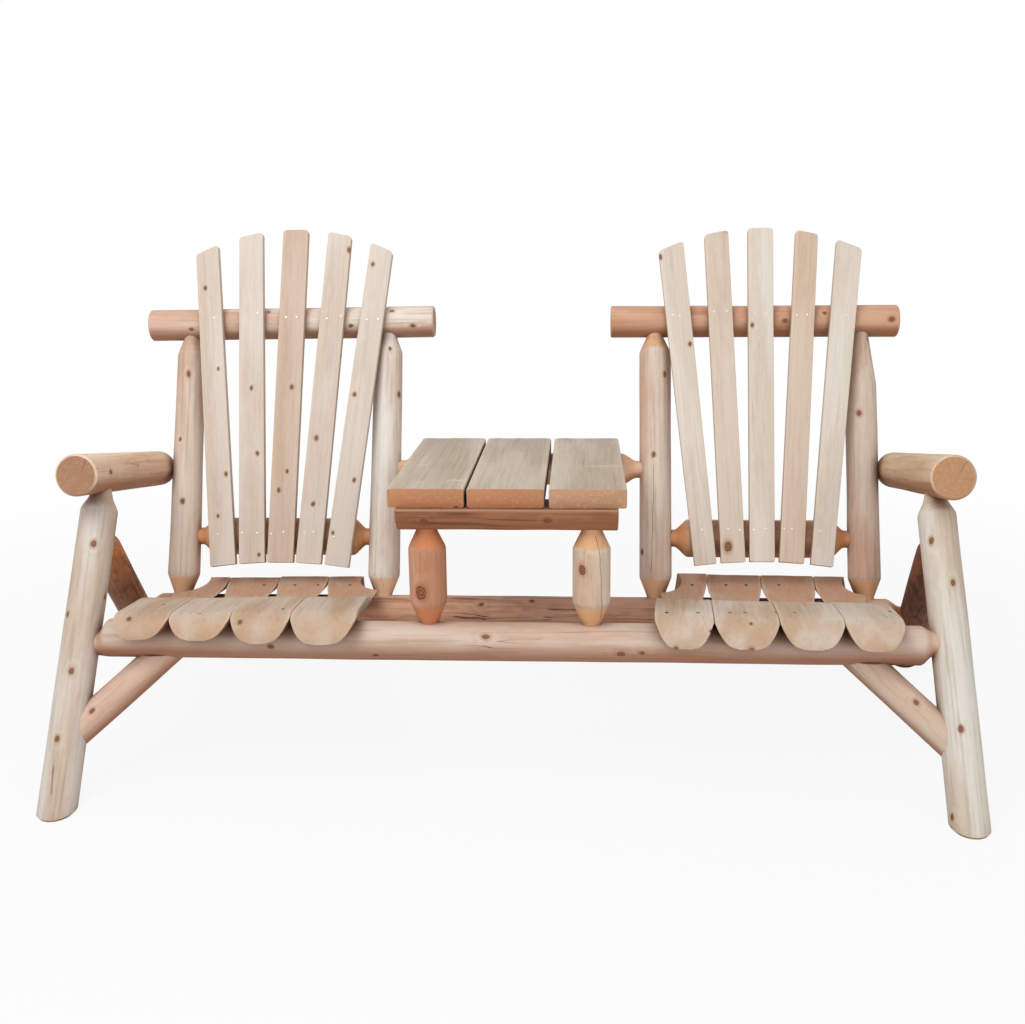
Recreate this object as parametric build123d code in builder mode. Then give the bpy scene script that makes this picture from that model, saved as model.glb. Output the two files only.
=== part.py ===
from build123d import *
import math
import os

os.makedirs("parts", exist_ok=True)

# Two log chairs with a table between them. X runs from the sitter's left chair as seen from the front
# to the right one, Y runs from front to back, Z up. All lengths are in millimetres.

# Peeled poles and half logs
pole_radius = 38.0
front_rail_radius = 39.5
lower_rail_radius = 45.0
brace_radius = 32.5
left_arm_front_radius = 43.5
right_arm_front_radius = 45.0
arm_rear_radius = 42.0
bearer_log_radius = 50.0

# Joinery: cone shoulders turned down to round tenons, in drilled mortises
tenon_radius = 20.5
stout_tenon_radius = 25.0
foot_cone_length = 46.0
head_cone_length = 37.0
stout_cone_length = 18.0
rail_cone_length = 25.0
lower_rail_cone_length = 34.0
neck_gap = 1.5
tenon_past_axis = 12.0
mortise_relief = 0.5
fit_clearance = 0.3
saw_easing = 3.0
overrun = 60.0

# Rails, in the side view
front_rail_y = -254.6
front_rail_height = 302.0
rail_spacing = 436.0
rear_rail_drop = 94.0

# Front legs: they cross the front rail's ends and lean back under the arms
leg_x = 883.0
leg_lean = 31.0
leg_splay = 1.7
leg_foot_easing = 5.0
rear_leg_x_at_rail = 935.7

# Knee braces between front legs and front rail
brace_run = 211.0
brace_drop = 211.0
brace_set_back_at_rail = 22.0
brace_set_back_at_leg = 10.0
brace_top_under_rail_axis = 27.0
brace_end_beside_leg_axis = 25.0

# Arms
arm_height_over_leg = 607.0
rear_leg_under_arm = 117.0
arm_fall = 11.6
arm_front_reach = 130.7
arm_tail = 17.0
left_arm_leg_offset = 12.0
right_arm_leg_offset = 8.0
arm_housing = 3.0
arm_end_easing = 4.0

# Back frames
post_recline = 21.0
outer_post_x = 817.5
inner_post_x = 326.3
lower_rail_rise = 179.0
table_bearer_rise = 345.0
left_top_rail_outer_reach = 102.0
left_top_rail_inner_reach = 112.5
right_top_rail_outer_reach = 88.5
right_top_rail_inner_reach = 107.5

# The four posts, from the left one to the right one
post_names = ("left_outer_post", "left_inner_post", "right_inner_post", "right_outer_post")
post_head_radii = (33.5, 34.5, 38.0, 36.0)
post_head_cone_lengths = (37.0, 37.0, 37.0, 120.0)
post_top_rises = (704.5, 709.5, 707.8, 707.8)

# Back slats: straight boards fanned out and cut to one arc at the top and one at the bottom
back_slat_thickness = 19.0
slat_corner_round = 5.0
left_slat_foot_xs = (-706.5, -636.0, -568.0, -500.0, -431.0)
left_slat_head_xs = (-775.5, -663.5, -552.0, -442.0, -334.0)
left_slat_foot_widths = (62.0, 63.0, 63.0, 62.0, 59.0)
left_slat_head_widths = (55.0, 58.5, 62.0, 57.5, 56.0)
right_slat_foot_xs = (438.8, 504.0, 571.0, 639.0, 709.4)
right_slat_head_xs = (357.0, 469.5, 575.0, 686.0, 789.0)
right_slat_foot_widths = (50.5, 56.5, 58.0, 57.5, 51.0)
right_slat_head_widths = (62.0, 57.0, 60.0, 52.5, 62.0)
left_back_head_rise = 927.0
left_back_foot_rise = 112.0
left_head_arc_radius = 525.0
right_back_head_rise = 922.0
right_back_foot_rise = 120.5
right_head_arc_radius = 560.0
foot_arc_radius = 1150.0

# Seat slats: half logs, round side down, scooped, and rolled over at the nose by their own depth. The edges
# are where one slat meets the next over the front rail. A side share is the straight part of a log's side.
seat_rise_over_rail = 67.3
seat_plane_fall = 9.7
left_seat_edges = (-804.0, -677.6, -553.8, -433.0, -300.0)
left_seat_log_depths = (49.0, 50.0, 58.5, 60.5)
left_seat_drops = (3.0, 2.5, -1.0, -2.0)
left_seat_side_shares = (0.3, 0.3, 0.26, 0.22)
left_seat_splay = 3.5
left_seat_tail = 492.0
left_seat_tail_depth = 10.0
left_seat_run_out = 14.0
right_seat_edges = (295.0, 411.3, 538.6, 664.3, 779.5)
right_seat_log_depths = (62.5, 59.5, 58.0, 58.5)
right_seat_drops = (-3.0, 0.0, 1.0, 2.5)
right_seat_side_shares = (0.2, 0.28, 0.28, 0.26)
right_seat_splay = 4.5
right_seat_tail = 506.0
right_seat_tail_depth = 0.5
right_seat_run_out = 18.0
seat_slat_gap = 1.5
seat_shoulder_radius = 30.0
nose_reach = 79.0
nose_over_depth = 2.0
crest_back = 95.0
scoop_back = 342.0
scoop_depth = 39.0
post_notch_gaps = (26.0, 18.0, 24.0, 14.0)

# Table
table_fall = 2.0
board_width = 152.0
board_thickness = 38.0
board_edge_round = 4.0
left_board_gap = 5.0
right_board_gap = 8.5
board_front_reach = 585.0
board_back_reach = -4.0
bearer_left_reach = 216.0
bearer_right_reach = 220.0
stub_set_back = 10.0
left_stub_x = -160.0
right_stub_x = 169.0
stub_tenon_in_bearer = 22.0

# Places and directions that follow from the sizes above
rear_rail_y = front_rail_y + rail_spacing
rear_rail_height = front_rail_height - rear_rail_drop
rear_leg_meets_height = arm_height_over_leg - rear_leg_under_arm
seat_plane_height = front_rail_height + seat_rise_over_rail
lean_run = math.tan(math.radians(leg_lean))
splay_run = math.tan(math.radians(leg_splay))
post_direction = Vector(0, math.sin(math.radians(post_recline)), math.cos(math.radians(post_recline)))
back_front = Vector(0, -math.cos(math.radians(post_recline)), math.sin(math.radians(post_recline)))
table_back = Vector(0, math.cos(math.radians(table_fall)), -math.sin(math.radians(table_fall)))
table_up = Vector(0, math.sin(math.radians(table_fall)), math.cos(math.radians(table_fall)))
sides = (("left", -1), ("right", 1))


def leg_point(side, height):
    rise = height - front_rail_height
    return Vector(side * (leg_x - rise * splay_run), front_rail_y + rise * lean_run, height)


def back_point(x, rise):
    return Vector(x, rear_rail_y, rear_rail_height) + post_direction * rise


def tenon_end(tip, neck, cone, neck_radius, body_radius):
    # Distances are measured from the joint's centre towards the middle of the pole.
    return [(tip, 0), (tip, neck_radius), (neck, neck_radius), (neck + cone, body_radius)]


def sawn_end(at, body_radius, easing):
    return [(at, 0), (at, body_radius - easing), (at + easing, body_radius)]


def rough_end(at, body_radius):
    return [(at, 0), (at, body_radius)]


def neck_reach(along, receiver_along, receiver_radius, neck_radius):
    # How far from the receiving pole's centre line a neck stays clear of it, for poles that meet at a slant.
    slant = abs(along.normalized().dot(receiver_along.normalized()))
    square = math.sqrt(1 - slant * slant)
    return (receiver_radius + neck_gap + neck_radius * slant) / square


def pole(start, end, near, far, cuts=()):
    length = (end - start).length
    along = (end - start).normalized()
    upright = abs(along.Z) > abs(along.Y)
    across = along.cross(Vector(0, 1, 0)) if upright else along.cross(Vector(0, 0, 1))
    outline = near + [(length - distance, radius) for distance, radius in reversed(far)]
    with BuildPart() as shaft:
        with BuildSketch(Plane(origin=start, x_dir=along, z_dir=across)):
            with BuildLine():
                Polyline(*outline, close=True)
            make_face()
        revolve(axis=Axis(start, along))
        for cut in cuts:
            add(cut, mode=Mode.SUBTRACT)
    return shaft


def bore(start, along, radius, depth):
    with BuildPart(Plane(origin=start, z_dir=along)) as hole:
        Cylinder(radius + fit_clearance, depth, align=(Align.CENTER, Align.CENTER, Align.MIN))
    return hole.part


def mortise(centre, towards, depth_past_axis, opening, radius=tenon_radius):
    # A blind hole for the tenon that comes in from the side that towards points to.
    along = towards.normalized()
    start = centre - along * (depth_past_axis + mortise_relief)
    return bore(start, along, radius, depth_past_axis + mortise_relief + opening)


def save(piece, label):
    piece.part.label = label
    export_step(piece.part, f"parts/{label}.step")


# Where poles meet
leg_rail = {side: leg_point(side, front_rail_height) for name, side in sides}
leg_meet = {side: leg_point(side, rear_leg_meets_height) for name, side in sides}
rear_leg_rail = {
    side: Vector(side * rear_leg_x_at_rail, rear_rail_y, rear_rail_height) for name, side in sides
}
arm_over_leg = {side: leg_point(side, arm_height_over_leg) for name, side in sides}
arm_run = Vector(0, math.cos(math.radians(arm_fall)), -math.sin(math.radians(arm_fall)))
arm_front_radii = {-1: left_arm_front_radius, 1: right_arm_front_radius}
arm_leg_offsets = {-1: left_arm_leg_offset, 1: right_arm_leg_offset}
stub_x = {-1: left_stub_x, 1: right_stub_x}
post_xs = (-outer_post_x, -inner_post_x, inner_post_x, outer_post_x)
post_tops = {x: back_point(x, rise) for x, rise in zip(post_xs, post_top_rises)}

# The arm's centre line and the post's cross in the side view at this distance behind the leg.
arm_to_post_y = rear_rail_y - arm_over_leg[1].Y
arm_to_post_z = rear_rail_height - arm_over_leg[1].Z
arm_to_post = (arm_to_post_y * post_direction.Z - arm_to_post_z * post_direction.Y) / (
    arm_run.Y * post_direction.Z - arm_run.Z * post_direction.Y
)
arm_x_at_post = outer_post_x + pole_radius + arm_rear_radius - arm_housing

# The table boards' underside lies on the rear bearer.
board_foot = back_point(0, table_bearer_rise) + table_up * (pole_radius + fit_clearance)
bearer_back_reach = (board_foot.Y - front_rail_y - stub_set_back) / table_back.Y
bearer_centre = board_foot - table_back * bearer_back_reach - table_up * fit_clearance

# Front legs
for name, side in sides:
    foot = leg_point(side, 0)
    top = arm_over_leg[side]
    up = (top - foot).normalized()
    neck = neck_reach(up, arm_run, arm_front_radii[side], stout_tenon_radius)
    rear_leg_way = (rear_leg_rail[side] - leg_meet[side]).normalized()
    body = pole(
        foot - up * overrun,
        top,
        rough_end(0, pole_radius),
        tenon_end(-tenon_past_axis, neck, rail_cone_length, stout_tenon_radius, pole_radius),
        [
            mortise(leg_rail[side], Vector(-side, 0, 0), tenon_past_axis, overrun, stout_tenon_radius),
            mortise(leg_meet[side], rear_leg_way, tenon_past_axis, overrun),
        ],
    )
    with BuildPart() as front_leg:
        add(body.part)
        split(bisect_by=Plane.XY, keep=Keep.TOP)
        chamfer(front_leg.edges().group_by(Axis.Z)[0], leg_foot_easing)
    save(front_leg, f"front_leg_{name}")

# Rear legs
for name, side in sides:
    meet = leg_meet[side]
    down = (rear_leg_rail[side] - meet).normalized()
    foot = meet + down * (meet.Z / -down.Z)
    neck = neck_reach(down, leg_meet[side] - leg_rail[side], pole_radius, tenon_radius)
    body = pole(
        meet,
        foot + down * (overrun + pole_radius),
        tenon_end(-tenon_past_axis, neck, rail_cone_length, tenon_radius, pole_radius),
        rough_end(0, pole_radius),
        [mortise(rear_leg_rail[side], Vector(-side, 0, 0), tenon_past_axis, overrun)],
    )
    with BuildPart() as rear_leg:
        add(body.part)
        split(bisect_by=Plane.XY, keep=Keep.TOP)
        chamfer(rear_leg.edges().group_by(Axis.Z)[0], leg_foot_easing)
    save(rear_leg, f"rear_leg_{name}")

# Front rail
rail_way = Vector(1, 0, 0)
stout_neck = neck_reach(rail_way, leg_meet[1] - leg_rail[1], pole_radius, stout_tenon_radius)
stout_end = tenon_end(
    -tenon_past_axis, stout_neck, stout_cone_length, stout_tenon_radius, front_rail_radius
)
stub_y = front_rail_y + stub_set_back
stub_feet = {side: Vector(x, stub_y, front_rail_height) for side, x in stub_x.items()}
front_rail = pole(
    leg_rail[-1],
    leg_rail[1],
    stout_end,
    stout_end,
    [mortise(place, Vector(0, 0, 1), tenon_past_axis, overrun) for place in stub_feet.values()],
)
save(front_rail, "front_rail")

# Rear rail
rear_neck = neck_reach(rail_way, rear_leg_rail[1] - leg_meet[1], pole_radius, tenon_radius)
rear_end = tenon_end(-tenon_past_axis, rear_neck, rail_cone_length, tenon_radius, pole_radius)
rear_rail = pole(
    rear_leg_rail[-1],
    rear_leg_rail[1],
    rear_end,
    rear_end,
    [mortise(back_point(x, 0), post_direction, tenon_past_axis, overrun) for x in post_xs],
)
save(rear_rail, "rear_rail")

# Knee braces, set back a little, coped at both ends and cut off level under the rail
for name, side in sides:
    down = (leg_point(side, 0) - leg_rail[side]).normalized()
    leg_joint = leg_rail[side] + down * brace_drop
    on_leg = leg_joint + Vector(0, brace_set_back_at_leg, 0)
    on_rail = Vector(
        side * (leg_x - brace_run), front_rail_y + brace_set_back_at_rail, front_rail_height
    )
    body = pole(
        on_rail,
        on_leg,
        rough_end(-overrun, brace_radius),
        rough_end(-overrun, brace_radius),
        [
            bore(leg_rail[-1], rail_way, front_rail_radius, 2 * leg_x),
            bore(leg_rail[side], down, pole_radius, 2 * brace_drop),
        ],
    )
    rail_cut = Plane(
        origin=leg_rail[side] - Vector(0, 0, brace_top_under_rail_axis), z_dir=Vector(0, 0, 1)
    )
    leg_cut = Plane(
        origin=leg_joint - Vector(side * brace_end_beside_leg_axis, 0, 0),
        z_dir=Vector(side, 0, side * down.X / abs(down.Z)),
    )
    with BuildPart() as brace:
        add(body.part)
        split(bisect_by=rail_cut, keep=Keep.BOTTOM)
        split(bisect_by=leg_cut, keep=Keep.BOTTOM)
    save(brace, f"knee_brace_{name}")

# Arms: the front leg's tenon comes up into them, and their tails lie housed against the outer posts
for name, side in sides:
    over_leg = arm_over_leg[side] + Vector(side * arm_leg_offsets[side], 0, 0)
    beside_post = Vector(side * arm_x_at_post, over_leg.Y, over_leg.Z) + arm_run * arm_to_post
    along = (beside_post - over_leg).normalized()
    leg_up = (arm_over_leg[side] - leg_rail[side]).normalized()
    arm = pole(
        over_leg - along * arm_front_reach,
        beside_post + along * arm_tail,
        sawn_end(0, arm_front_radii[side], arm_end_easing),
        sawn_end(0, arm_rear_radius, arm_end_easing),
        [
            mortise(
                arm_over_leg[side],
                -leg_up,
                tenon_past_axis,
                overrun + arm_front_radii[side],
                stout_tenon_radius,
            ),
            bore(back_point(side * outer_post_x, 0), post_direction, pole_radius, post_top_rises[0]),
        ],
    )
    save(arm, f"arm_{name}")

# Back posts
lower_rail_set_back = back_front * (lower_rail_radius - pole_radius)
foot_end = tenon_end(
    -tenon_past_axis, pole_radius + neck_gap, foot_cone_length, tenon_radius, pole_radius
)
for label, x, radius, cone in zip(post_names, post_xs, post_head_radii, post_head_cone_lengths):
    chair_side = math.copysign(1, x)
    outer = abs(x) == outer_post_x
    inward = Vector(-chair_side if outer else chair_side, 0, 0)
    lower_joint = back_point(x, lower_rail_rise) - lower_rail_set_back
    mortises = [mortise(lower_joint, inward, tenon_past_axis, overrun)]
    if not outer:
        mortises.append(mortise(back_point(x, table_bearer_rise), -inward, tenon_past_axis, overrun))
    post_head = tenon_end(-tenon_past_axis, pole_radius + neck_gap, cone, tenon_radius, radius)
    post = pole(back_point(x, 0), post_tops[x], foot_end, post_head, mortises)
    save(post, label)

# Back rails of each chair. The top rail runs over both post heads and on past them.
lower_end = tenon_end(
    -tenon_past_axis, pole_radius + neck_gap, lower_rail_cone_length, tenon_radius, lower_rail_radius
)
top_rail_reaches = {
    -1: (left_top_rail_outer_reach, left_top_rail_inner_reach),
    1: (right_top_rail_outer_reach, right_top_rail_inner_reach),
}
for name, side in sides:
    outer_reach, inner_reach = top_rail_reaches[side]
    outer_top = post_tops[side * outer_post_x]
    inner_top = post_tops[side * inner_post_x]
    along = (inner_top - outer_top).normalized()
    top_rail = pole(
        outer_top - along * outer_reach,
        inner_top + along * inner_reach,
        sawn_end(0, pole_radius, saw_easing),
        sawn_end(0, pole_radius, saw_easing),
        [mortise(place, -post_direction, tenon_past_axis, overrun) for place in (outer_top, inner_top)],
    )
    save(top_rail, f"{name}_top_rail")
    lower_rail = pole(
        back_point(side * outer_post_x, lower_rail_rise) - lower_rail_set_back,
        back_point(side * inner_post_x, lower_rail_rise) - lower_rail_set_back,
        lower_end,
        lower_end,
    )
    save(lower_rail, f"{name}_lower_back_rail")

# Back slats. Their blanks run past both ends and are cut to the arcs.
slat_back = back_point(0, 0) + back_front * (pole_radius + fit_clearance)
slat_plane = Plane(origin=slat_back, x_dir=(1, 0, 0), z_dir=back_front)
back_places = {
    -1: zip(left_slat_foot_xs, left_slat_head_xs, left_slat_foot_widths, left_slat_head_widths),
    1: zip(right_slat_foot_xs, right_slat_head_xs, right_slat_foot_widths, right_slat_head_widths),
}
back_heads = {
    -1: (left_slat_head_xs[2], left_back_head_rise, left_head_arc_radius),
    1: (right_slat_head_xs[2], right_back_head_rise, right_head_arc_radius),
}
back_feet = {
    -1: (left_slat_foot_xs[2], left_back_foot_rise),
    1: (right_slat_foot_xs[2], right_back_foot_rise),
}
for name, side in sides:
    head_x, head_rise, head_arc_radius = back_heads[side]
    foot_x, foot_rise = back_feet[side]
    for number, (low_x, high_x, low_width, high_width) in enumerate(back_places[side], start=1):
        low = Vector(low_x, foot_rise)
        high = Vector(high_x, head_rise)
        along = (high - low).normalized()
        across = Vector(along.Y, -along.X)
        blank_foot = low - along * overrun
        blank_head = high + along * overrun
        with BuildPart() as back_slat:
            with BuildSketch(slat_plane):
                with BuildLine():
                    Polyline(
                        blank_foot - across * (low_width / 2),
                        blank_head - across * (high_width / 2),
                        blank_head + across * (high_width / 2),
                        blank_foot + across * (low_width / 2),
                        close=True,
                    )
                make_face()
                with Locations((head_x, head_rise - head_arc_radius)):
                    Circle(head_arc_radius, mode=Mode.INTERSECT)
                with Locations((foot_x, foot_rise - foot_arc_radius)):
                    Circle(foot_arc_radius, mode=Mode.SUBTRACT)
            extrude(amount=back_slat_thickness)
            corners = back_slat.edges().filter_by(Axis(slat_plane.origin, back_front))
            fillet(corners, radius=slat_corner_round)
        save(back_slat, f"{name}_back_slat_{number}")

# Seat slats
seats = {
    -1: (left_seat_splay, left_seat_tail, left_seat_tail_depth, left_seat_run_out),
    1: (right_seat_splay, right_seat_tail, right_seat_tail_depth, right_seat_run_out),
}
seat_logs = {
    -1: zip(
        left_seat_edges, left_seat_edges[1:], left_seat_log_depths, left_seat_drops, left_seat_side_shares
    ),
    1: zip(
        right_seat_edges,
        right_seat_edges[1:],
        right_seat_log_depths,
        right_seat_drops,
        right_seat_side_shares,
    ),
}
fall = math.radians(seat_plane_fall)
seat_back = Vector(0, math.cos(fall), -math.sin(fall))
seat_cuts = [
    bore(leg_rail[-1], rail_way, front_rail_radius, 2 * leg_x),
    bore(rear_leg_rail[-1], rail_way, pole_radius, 2 * rear_leg_x_at_rail),
]
for x, notch_gap in zip(post_xs, post_notch_gaps):
    seat_cuts.append(
        bore(back_point(x, -overrun), post_direction, pole_radius + notch_gap, lower_rail_rise + overrun)
    )


def scoop_points(tail, tail_depth, run_out):
    # Where the crest's arc passes into the trough's arc, and where that one runs out straight to the tail.
    rise = scoop_depth - tail_depth
    run = tail - scoop_back
    trough_radius = (run * math.sin(run_out) - rise * math.cos(run_out)) / (1 - math.cos(run_out))
    dip = 2 * math.atan(scoop_depth / (scoop_back - crest_back))
    crest_radius = (scoop_back - crest_back) / math.sin(dip) - trough_radius
    dip_point = Vector(crest_back + crest_radius * math.sin(dip), -crest_radius * (1 - math.cos(dip)))
    lift_point = Vector(
        scoop_back + trough_radius * math.sin(run_out), trough_radius * (1 - math.cos(run_out)) - scoop_depth
    )
    return dip_point, lift_point


def shoulder_point(half_width, depth, side_drop):
    # Where the small arc at a half log's side passes into the large arc of its belly.
    reach = half_width - seat_shoulder_radius
    rest = depth - side_drop
    belly_radius = (reach**2 + rest**2 - seat_shoulder_radius**2) / (2 * (rest - seat_shoulder_radius))
    shoulder_centre = Vector(reach, -side_drop)
    belly_centre = Vector(0, belly_radius - depth)
    return shoulder_centre + (shoulder_centre - belly_centre).normalized() * seat_shoulder_radius


for name, side in sides:
    splay, seat_tail, tail_depth, run_out_angle = seats[side]
    spread = math.radians(splay) * side
    back_way = Vector(math.sin(spread) * math.cos(fall), math.cos(spread) * math.cos(fall), -math.sin(fall))
    up_way = Vector(math.sin(spread) * math.sin(fall), math.cos(spread) * math.sin(fall), math.cos(fall))
    cross_way = back_way.cross(up_way)
    dip_point, lift_point = scoop_points(seat_tail, tail_depth, math.radians(run_out_angle))
    blank_length = nose_reach + seat_tail + overrun
    tail_cut = Plane(
        origin=Vector(0, front_rail_y, seat_plane_height) + seat_back * seat_tail,
        z_dir=seat_back,
    )
    for number, (low_edge, high_edge, depth, drop, side_share) in enumerate(seat_logs[side], start=1):
        half_width = (high_edge - low_edge) * math.cos(spread) / 2 - seat_slat_gap / 2
        side_drop = depth * side_share
        shoulder = shoulder_point(half_width, depth, side_drop)
        middle = Vector((low_edge + high_edge) / 2, front_rail_y, seat_plane_height) - up_way * drop
        side_view = Plane(origin=middle, x_dir=back_way, z_dir=cross_way)
        blank_start = middle - back_way * (nose_reach + overrun)
        front_view = Plane(origin=blank_start, x_dir=-cross_way, z_dir=back_way)
        nose_radius = depth + nose_over_depth
        with BuildPart() as seat_slat:
            with BuildSketch(side_view):
                with BuildLine():
                    nose_start = (-nose_reach, -nose_radius)
                    nose = TangentArc(nose_start, (nose_radius - nose_reach, 0), tangent=(0, 1))
                    flat = Line(nose @ 1, (crest_back, 0))
                    crest = TangentArc(flat @ 1, dip_point, tangent=flat % 1)
                    trough = TangentArc(crest @ 1, lift_point, tangent=crest % 1)
                    tail = Line(trough @ 1, trough @ 1 + trough % 1 * (blank_length - lift_point.X))
                    Polyline(tail @ 1, ((tail @ 1).X, -nose_radius), nose @ 0)
                make_face()
            extrude(amount=half_width, both=True)
            with BuildSketch(front_view):
                with BuildLine():
                    top = Line((-half_width, 0), (half_width, 0))
                    right_side = Line(top @ 1, (half_width, -side_drop))
                    right_shoulder = TangentArc(right_side @ 1, shoulder, tangent=right_side % 1)
                    belly = TangentArc(shoulder, (-shoulder.X, shoulder.Y), tangent=right_shoulder % 1)
                    left_shoulder = TangentArc(belly @ 1, (-half_width, -side_drop), tangent=belly % 1)
                    Line(left_shoulder @ 1, top @ 0)
                make_face()
            extrude(amount=2 * blank_length, mode=Mode.INTERSECT)
            split(bisect_by=tail_cut, keep=Keep.BOTTOM)
            for cut in seat_cuts:
                add(cut, mode=Mode.SUBTRACT)
        save(seat_slat, f"{name}_seat_slat_{number}")

# Table bearers and stub posts
stub_end = tenon_end(-tenon_past_axis, pole_radius + neck_gap, head_cone_length, tenon_radius, pole_radius)
rear_bearer = pole(
    back_point(-inner_post_x, table_bearer_rise),
    back_point(inner_post_x, table_bearer_rise),
    stub_end,
    stub_end,
)
save(rear_bearer, "table_rear_bearer")

bearer_plane = Plane(
    origin=bearer_centre - Vector(bearer_left_reach, 0, 0), x_dir=table_back, z_dir=Vector(1, 0, 0)
)
with BuildPart() as front_bearer:
    with BuildSketch(bearer_plane):
        with BuildLine():
            belly = CenterArc((0, 0), bearer_log_radius, 180, 180)
            Line(belly @ 1, belly @ 0)
        make_face()
    extrude(amount=bearer_left_reach + bearer_right_reach)
    for x in stub_x.values():
        stub_top = Vector(x, bearer_centre.Y, bearer_centre.Z)
        stub_hole = mortise(
            stub_top,
            Vector(0, 0, -1),
            stub_tenon_in_bearer - bearer_log_radius,
            overrun + bearer_log_radius,
        )
        add(stub_hole, mode=Mode.SUBTRACT)
save(front_bearer, "table_front_bearer")

rail_top_rise = math.sqrt(front_rail_radius * front_rail_radius - stub_set_back * stub_set_back)
stub_foot = tenon_end(
    -tenon_past_axis, rail_top_rise + neck_gap, foot_cone_length, tenon_radius, pole_radius
)
stub_head = tenon_end(
    bearer_log_radius - stub_tenon_in_bearer,
    bearer_log_radius + neck_gap,
    head_cone_length,
    tenon_radius,
    pole_radius,
)
for name, side in sides:
    in_bearer = Vector(stub_x[side], stub_feet[side].Y, bearer_centre.Z)
    stub_post = pole(stub_feet[side], in_bearer, stub_foot, stub_head)
    save(stub_post, f"table_stub_post_{name}")

# Table boards
board_xs = (-board_width - left_board_gap, 0, board_width + right_board_gap)
board_end = board_foot + table_back * board_back_reach
for number, x in enumerate(board_xs, start=1):
    board_plane = Plane(origin=board_end + Vector(x, 0, 0), x_dir=(1, 0, 0), z_dir=-table_back)
    with BuildPart() as board:
        with BuildSketch(board_plane):
            Rectangle(board_width, board_thickness, align=(Align.CENTER, Align.MIN))
        extrude(amount=board_front_reach + board_back_reach)
        fillet(board.edges().filter_by(Axis(board_foot, table_back)), radius=board_edge_round)
    save(board, f"table_board_{number}")
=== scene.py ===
import math
import random

import bmesh
import bpy
from mathutils import Matrix, Vector, noise
from mathutils.bvhtree import BVHTree


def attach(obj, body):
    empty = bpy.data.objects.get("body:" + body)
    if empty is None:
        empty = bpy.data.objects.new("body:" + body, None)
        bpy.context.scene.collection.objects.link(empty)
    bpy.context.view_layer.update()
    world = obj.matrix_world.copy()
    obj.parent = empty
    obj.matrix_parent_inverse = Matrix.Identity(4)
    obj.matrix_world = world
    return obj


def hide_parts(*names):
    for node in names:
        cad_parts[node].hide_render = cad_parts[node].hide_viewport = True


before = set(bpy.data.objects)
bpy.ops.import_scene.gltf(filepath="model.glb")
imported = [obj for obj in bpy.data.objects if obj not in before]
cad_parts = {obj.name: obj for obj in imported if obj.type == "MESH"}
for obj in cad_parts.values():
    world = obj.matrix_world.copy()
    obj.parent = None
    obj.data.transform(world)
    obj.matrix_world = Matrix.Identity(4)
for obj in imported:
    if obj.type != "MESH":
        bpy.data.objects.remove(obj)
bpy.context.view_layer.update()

# Lengths are millimetres until a mesh or a shader takes them; Blender works in metres.
metres = 0.001

# The photograph's viewpoint
view = {
    "place": (143.68, -2563.02, 1204.61),
    "pitch": 15.24,
    "yaw": 3.25,
    "roll": -0.61,
    "focalPixels": 1216.57,
    "imageSize": (1025, 1024),
    "sensor": 36.0,
}
eye = Vector(view["place"]) * metres


def between(low, high, share):
    return low + (high - low) * share


def clamped(share):
    return min(1.0, max(0.0, share))


def axesMatrix(x, y, z, origin):
    matrix = Matrix((x, y, z)).transposed().to_4x4()
    matrix.translation = origin
    return matrix


def addObject(name, data):
    made = bpy.data.objects.new(name, data)
    bpy.context.scene.collection.objects.link(made)
    return made


def cameraAxes():
    pitch, yaw, roll = (math.radians(view[key]) for key in ("pitch", "yaw", "roll"))
    forward = Vector((
        -math.sin(yaw) * math.cos(pitch),
        math.cos(yaw) * math.cos(pitch),
        -math.sin(pitch),
    ))
    level = Vector((math.cos(yaw), math.sin(yaw), 0))
    rise = level.cross(forward)
    right = level * math.cos(roll) + rise * math.sin(roll)
    up = rise * math.cos(roll) - level * math.sin(roll)
    return right, up, forward


def pixelRay(u, v):
    right, up, forward = cameraAxes()
    width, height = view["imageSize"]
    ray = forward * view["focalPixels"] + right * (u - width / 2) - up * (v - height / 2)
    return ray.normalized()


def makeCamera():
    right, up, forward = cameraAxes()
    data = bpy.data.cameras.new("viewCamera")
    data.sensor_width = view["sensor"]
    data.lens = view["sensor"] * view["focalPixels"] / view["imageSize"][0]
    camera = addObject("viewCamera", data)
    camera.matrix_world = axesMatrix(right, up, -forward, eye)
    bpy.context.scene.camera = camera


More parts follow.
